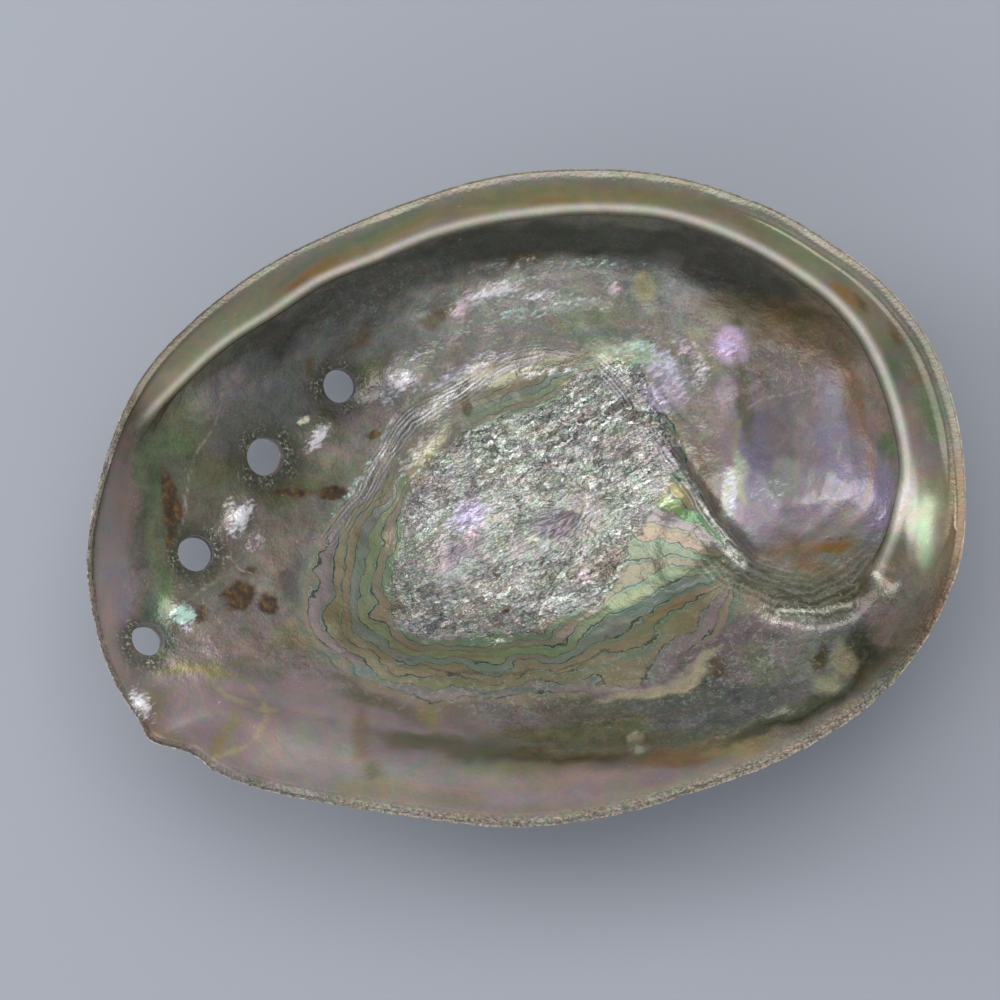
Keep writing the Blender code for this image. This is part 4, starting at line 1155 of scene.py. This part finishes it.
def only(mask, value):
    """A factor that is left out, as 1, outside a mask."""
    return plus(1.0, times(less(value, 1.0), mask))


def eased(value, start, end, low=0.0, high=1.0):
    """A value mapped from start..end to low..high with level ends."""
    node = nodes.new("ShaderNodeMapRange")
    node.interpolation_type = "SMOOTHSTEP"
    sockets = ("Value", "From Min", "From Max", "To Min", "To Max")
    for name, given in zip(sockets, (value, start, end, low, high)):
        join(node.inputs[name], given)
    return node.outputs["Result"]


def over(factor, under, on_top, way="MIX"):
    """One colour over another."""
    node = nodes.new("ShaderNodeMix")
    node.data_type = "RGBA"
    node.blend_type = way
    join(node.inputs[0], factor)
    join(node.inputs[6], under)
    join(node.inputs[7], on_top)
    return node.outputs[2]


def shades(value, *stops):
    """Colours along a value. Each stop is a place and then a colour from 0 to 255."""
    node = nodes.new("ShaderNodeValToRGB")
    ramp = node.color_ramp
    while len(ramp.elements) < len(stops):
        ramp.elements.new(0.5)
    for element, (place, *colour) in zip(ramp.elements, stops):
        element.position = place
        element.color = (*linear(colour), 1.0)
    join(node.inputs[0], value)
    return node.outputs["Color"]


FINEST_LUMP = 0.3


def lumpy(place, size, detail=3.0, rough=0.55, bent=0.0):
    """Cloudy noise with lumps about size millimetres across, down to the finest that shows."""
    node = nodes.new("ShaderNodeTexNoise")
    join(node.inputs["Vector"], place)
    node.inputs["Scale"].default_value = 1.0 / size
    node.inputs["Detail"].default_value = min(detail, math.log2(size / FINEST_LUMP))
    node.inputs["Roughness"].default_value = rough
    node.inputs["Distortion"].default_value = bent
    return node.outputs["Fac"]


def laid(scale, turned=0.0):
    """Object coordinates in millimetres, turned about the vertical and stretched."""
    node = nodes.new("ShaderNodeMapping")
    node.vector_type = "TEXTURE"
    node.inputs["Rotation"].default_value = (0.0, 0.0, math.radians(turned))
    node.inputs["Scale"].default_value = tuple(METRES * s for s in scale)
    links.new(in_object, node.inputs["Vector"])
    return node.outputs["Vector"]


in_object = nodes.new("ShaderNodeTexCoord").outputs["Object"]
level = laid((1.0, 1.0, 1.0))
tint_node = nodes.new("ShaderNodeAttribute")
tint_node.attribute_name = "tint"
colour = tint_node.outputs["Color"]

# Play of colour in the clear layers
film = part_of(times(lumpy(level, 15.0, 2.5, 0.5, 1.4), 5.0))
play = shades(film, (0.0, 146, 122, 140), (0.18, 158, 126, 128), (0.36, 148, 138, 106),
    (0.52, 108, 146, 104), (0.7, 104, 138, 130), (0.86, 124, 116, 150), (1.0, 146, 122, 140))
colour = over(0.36, colour, play, "OVERLAY")
calm_mask = kept("calm")
lively = less(1.0, times(calm_mask, 0.75))
cloud = eased(lumpy(level, 4.0, 5.0, 0.58, 0.8), 0.3, 0.7, -0.20, 0.18)
dusty = eased(lumpy(level, 0.55, 3.0, 0.7), 0.3, 0.7, -0.12, 0.12)
mottle = plus(1.0, times(plus(cloud, dusty), lively))
colour = over(1.0, colour, mottle, "MULTIPLY")

# Brown stains with ragged edges
crumbly = lumpy(level, 2.4, 5.0, 0.62, 0.5)
stain_edge = plus(kept("stain"), times(less(crumbly, 0.5), 0.9))
stain_tone = shades(lumpy(level, 1.8, 4.0), (0.34, 40, 26, 14), (0.52, 74, 50, 22), (0.68, 118, 86, 36))
colour = over(eased(stain_edge, 0.34, 0.78, 0.0, 0.92), colour, stain_tone)

# Thin lines along the terraces
terraced_mask = kept("terraced")
climbing = plus(kept("stair"), times(lumpy(level, 1.6, 3.0), 0.5))
tread = part_of(climbing)
which = part_of(times(worked("Math", "FLOOR", climbing)[0], 0.618))
tread_colour = shades(which, (0.0, 88, 144, 82), (0.2, 160, 136, 116), (0.4, 126, 118, 70),
    (0.6, 148, 130, 138), (0.8, 82, 132, 104), (1.0, 152, 130, 84))
colour = over(times(terraced_mask, 0.6), colour, tread_colour)
faint = eased(lumpy(level, 5.0, 3.0), 0.38, 0.6)
line = shades(tread, (0.0, 34, 52, 46), (0.07, 44, 66, 60), (0.11, 138, 150, 132), (0.18, 74, 112, 100),
    (0.3, 96, 110, 70), (1.0, 34, 52, 46))
line_mask = shades(tread, (0.0, 255, 255, 255), (0.12, 255, 255, 255), (0.34, 0, 0, 0), (0.94, 0, 0, 0),
    (1.0, 255, 255, 255))
drawn = times(terraced_mask, line_mask, eased(faint, 0.0, 1.0, 0.3, 0.9))
colour = over(drawn, colour, line)

# Crushed foil of the core
foil_place = laid((2.7, 1.0, 1.3), 28.0)
stirred = nodes.new("ShaderNodeTexNoise")
stirred.inputs["Scale"].default_value = 0.5
stirred.inputs["Detail"].default_value = math.log2(2.0 / FINEST_LUMP)
links.new(level, stirred.inputs["Vector"])
stir = (2.3, 2.3, 2.3)
foil_warp = worked("VectorMath", "MULTIPLY_ADD", stirred.outputs["Color"], stir, foil_place)["Vector"]
foil = nodes.new("ShaderNodeTexVoronoi")
crevice = nodes.new("ShaderNodeTexVoronoi")
crevice.feature = "DISTANCE_TO_EDGE"
for cells in (foil, crevice):
    cells.inputs["Scale"].default_value = 1.0
    links.new(foil_warp, cells.inputs["Vector"])
facet = nodes.new("ShaderNodeSeparateColor")
links.new(foil.outputs["Color"], facet.inputs["Color"])
core_mask = kept("core")
crisp = times(core_mask, eased(lumpy(level, 7.0, 3.0, 0.6), 0.34, 0.56, 0.3, 1.0))
crisp = times(crisp, eased(kept("coarse"), 0.0, 1.0, 0.6, 1.0))
crisp = times(crisp, eased(kept("rubbed"), 0.0, 1.0, 1.0, 0.15))
hue = shades(facet.outputs["Green"], (0.0, 92, 140, 108), (0.25, 122, 134, 120), (0.6, 130, 128, 126),
    (0.8, 152, 122, 140), (1.0, 168, 150, 108))
colour = over(times(crisp, 0.42), colour, hue, "OVERLAY")
# Painted light and shade: each facet of the foil is lit lighter or darker, and dark lines are painted in its
# crevices.
lit = eased(facet.outputs["Red"], 0.0, 1.0, 0.55, 1.40)
lit = times(lit, eased(crevice.outputs["Distance"], 0.0, 0.10, 0.3, 1.0))
lit = only(crisp, lit)
speck = eased(lumpy(laid((0.8, 0.5, 0.6), 33.0), 0.6, 4.0, 0.75), 0.34, 0.66, 0.55, 1.28)
speck_here = times(core_mask, eased(kept("rubbed"), 0.0, 1.0, 1.0, 0.35))
speck = only(speck_here, speck)
swell = eased(lumpy(laid((1.6, 0.8, 1.0), 28.0), 3.2, 4.0, 0.6, 0.8), 0.32, 0.68, 0.70, 1.16)
swell = only(core_mask, swell)
colour = over(1.0, colour, times(lit, speck, swell), "MULTIPLY")
# Painted glints: white sparks on some facets of the foil.
spark = eased(lumpy(foil_warp, 0.9, 4.0, 0.7), 0.42, 0.58)
spark = times(spark, eased(facet.outputs["Blue"], 0.5, 0.9))
colour = over(times(spark, crisp, 0.8), colour, (*linear((236, 238, 230)), 1.0))
apart = worked("VectorMath", "SUBTRACT", foil_warp, foil.outputs["Position"])["Vector"]
tilt = worked("VectorMath", "SUBTRACT", foil.outputs["Color"], (0.5, 0.5, 0.5))["Vector"]
tipped = worked("VectorMath", "DOT_PRODUCT", apart, tilt)["Value"]

# Glints, the painted highlights, broken up by the grain of the layers
sparkling = lumpy(laid((1.7, 0.8, 1.0), 28.0), 1.1, 5.0, 0.72)
glint_edge = plus(kept("glint"), times(less(sparkling, 0.5), 1.7))
glint_tone = shades(kept("glint_hue"), (0.0, 232, 234, 236), (0.3, 232, 204, 216), (0.5, 196, 230, 216),
    (0.8, 214, 194, 234), (1.0, 232, 226, 196))

# Strands of the border, with painted silver highlights along them and painted shade between, and of the hook
drift = plus(times(lumpy(level, 12.0, 3.0), 2.5), times(lumpy(level, 1.6, 3.0), 0.4))
strand = part_of(plus(times(kept("rope_away"), 1.25), drift))
strands = shades(strand, (0.0, 44, 48, 46), (0.16, 88, 92, 90), (0.36, 214, 216, 216),
    (0.5, 176, 170, 186), (0.8, 96, 98, 92), (1.0, 44, 48, 46))
frayed = eased(lumpy(level, 4.0, 4.0, 0.62), 0.38, 0.6, 0.1, 0.75)
colour = over(times(kept("rope"), frayed), colour, strands)
layer_line = part_of(plus(times(kept("hook_away"), 0.7), drift))
layers = shades(layer_line, (0.0, 50, 54, 40), (0.25, 92, 94, 74), (0.42, 140, 140, 124),
    (0.7, 84, 86, 62), (1.0, 50, 54, 40))
colour = over(times(kept("hook"), 0.65), colour, layers)

# The crusty rings round the open holes
ring_fleck = lumpy(level, 0.7, 5.0, 0.8)
ring_tone = shades(ring_fleck, (0.38, 40, 40, 30), (0.54, 78, 78, 62), (0.63, 128, 128, 108),
    (0.7, 180, 180, 160))
colour = over(times(kept("collar"), 0.8), colour, ring_tone)

colour = over(eased(glint_edge, 0.30, 1.0, 0.0, 0.95), colour, glint_tone)
line_node = nodes.new("ShaderNodeAttribute")
line_node.attribute_name = "line_tint"
wavering = plus(kept("line_away"), times(less(lumpy(level, 0.9, 3.0), 0.5), 1.2))
fading = eased(lumpy(level, 4.0, 4.0, 0.65), 0.38, 0.56, 0.1, 1.0)
line_there = times(eased(wavering, 0.1, 1.5, 0.8, 0.0), kept("line_strength"), fading)
colour = over(line_there, colour, line_node.outputs["Color"])

# Chalky flecks where the nacre is worn
fleck = eased(lumpy(level, 1.3, 5.0, 0.75, 0.8), 0.53, 0.64)
colour = over(times(kept("chalk"), fleck, 0.6), colour, (*linear((160, 162, 150)), 1.0))

# The back, brick red with paler growth bands and lime crust
bands = part_of(plus(times(kept("age"), 9.0), lumpy(level, 16.0, 3.0)))
brick = shades(bands, (0.0, 92, 54, 42), (0.3, 126, 74, 56), (0.55, 146, 104, 80),
    (0.68, 170, 146, 120), (0.8, 110, 66, 50), (1.0, 92, 54, 42))
lime = shades(lumpy(level, 2.0, 5.0, 0.65), (0.3, 120, 112, 92), (0.5, 172, 164, 144),
    (0.7, 206, 200, 184))
crusted = over(times(kept("crust"), 0.85), brick, lime)
outside_mask = kept("outside")
colour = over(outside_mask, colour, crusted)

# The granular broken edge
grains = eased(lumpy(level, 0.7, 3.0, 0.7), 0.3, 0.7, 0.45, 1.5)
grains = only(kept("edging"), grains)
colour = over(1.0, colour, grains, "MULTIPLY")
links.new(colour, shader.inputs["Base Color"])

satin = less(eased(lumpy(level, 5.0, 4.0), 0.3, 0.7, 0.25, 0.38), times(kept("polished"), 0.17))
satin = plus(satin, times(calm_mask, 0.10))
dull = over(outside_mask, satin, (0.7, 0.7, 0.7, 1.0))
dull = over(kept("edging"), dull, (0.6, 0.6, 0.6, 1.0))
join(shader.inputs["Roughness"], dull)
join(shader.inputs["Metallic"], times(less(1.0, outside_mask), 0.45))
join(shader.inputs["Coat Weight"], times(less(1.0, outside_mask), 0.4))
shader.inputs["Coat Roughness"].default_value = 0.12

height = times(tipped, crisp, 0.9)
crumple = times(lumpy(foil_place, 0.8, 4.0, 0.7), core_mask, 0.35)
height = plus(height, crumple)
height = plus(height, times(tread, terraced_mask, -0.06))
height = plus(height, times(lumpy(level, 3.5, 3.0, 0.5), lively, 0.35))
rough_places = plus(times(plus(outside_mask, kept("edging")), 0.5), times(lively, 0.12))
height = plus(height, times(lumpy(level, 0.8, 5.0, 0.7), rough_places))
dint = nodes.new("ShaderNodeBump")
dint.inputs["Strength"].default_value = 1.0
dint.inputs["Distance"].default_value = 0.001
links.new(height, dint.inputs["Height"])
links.new(dint.outputs["Normal"], shader.inputs["Normal"])

# Light that the shell throws back on itself takes the painted colours alone, which makes a render quicker
plain = nodes.new("ShaderNodeBsdfPrincipled")
links.new(tint_node.outputs["Color"], plain.inputs["Base Color"])
plain.inputs["Roughness"].default_value = 0.4
plain.inputs["Metallic"].default_value = 0.3
light_path = nodes.new("ShaderNodeLightPath")
looked_at = nodes.new("ShaderNodeMixShader")
links.new(light_path.outputs["Ray Depth"], looked_at.inputs[0])
links.new(shader.outputs["BSDF"], looked_at.inputs[1])
links.new(plain.outputs["BSDF"], looked_at.inputs[2])
links.new(looked_at.outputs["Shader"], nodes["Material Output"].inputs["Surface"])

shell.data.materials.clear()
shell.data.materials.append(nacre)
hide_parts("shell")
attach(shell, "root")


# The floor: a plain pale sheet
bpy.ops.object.select_all(action="DESELECT")
bpy.ops.mesh.primitive_plane_add(size=4.0, location=(0.0, 0.0, 0.0))
floor = bpy.context.object
floor.name = "floor"
paper = bpy.data.materials.new("pale_paper")
paper.use_nodes = True
paper.node_tree.nodes["Principled BSDF"].inputs["Base Color"].default_value = (0.285, 0.30, 0.34, 1.0)
paper.node_tree.nodes["Principled BSDF"].inputs["Roughness"].default_value = 0.8
floor.data.materials.append(paper)


# Light: a large soft window behind and to the left, and an even pale room
def soft_light(name, toward, distance, width, length, power, tone):
    """A soft box that far away in a direction, facing the shell."""
    data = bpy.data.lights.new(name, "AREA")
    data.shape = "RECTANGLE"
    data.size = width
    data.size_y = length
    data.energy = power
    data.color = tone
    lamp = bpy.data.objects.new(name, data)
    bpy.context.scene.collection.objects.link(lamp)
    away = Vector(toward).normalized()
    lamp.location = away * distance
    lamp.rotation_euler = away.to_track_quat("Z", "Y").to_euler()


soft_light("window", (-0.04, 0.30, 0.95), 1.4, 1.1, 1.0, 10.2, (1.0, 0.99, 0.97))
soft_light("low_window", (-0.86, 0.22, 0.46), 1.3, 0.4, 0.9, 8.0, (0.97, 1.0, 0.99))
soft_light("low_front_window", (-0.80, -0.42, 0.42), 1.3, 0.4, 0.9, 2.5, (0.98, 1.0, 1.0))
soft_light("front_wall", (-0.05, -0.78, 0.62), 1.3, 1.0, 0.4, 2.0, (1.0, 1.0, 1.0))
room = bpy.data.worlds.new("room")
room.use_nodes = True
room.node_tree.nodes["Background"].inputs["Color"].default_value = (0.92, 0.95, 1.0, 1.0)
room.node_tree.nodes["Background"].inputs["Strength"].default_value = 0.63
bpy.context.scene.world = room
bpy.context.scene.view_settings.view_transform = "Standard"

# Camera: nearly overhead, from the front
sight = bpy.data.cameras.new("camera")
sight.lens = SIGHT_LENS
sight.sensor_width = 36.0
camera = bpy.data.objects.new("camera", sight)
bpy.context.scene.collection.objects.link(camera)
camera.location = Vector(eye) * METRES
camera.rotation_euler = Vector(-forward).to_track_quat("Z", "Y").to_euler()
bpy.context.scene.camera = camera
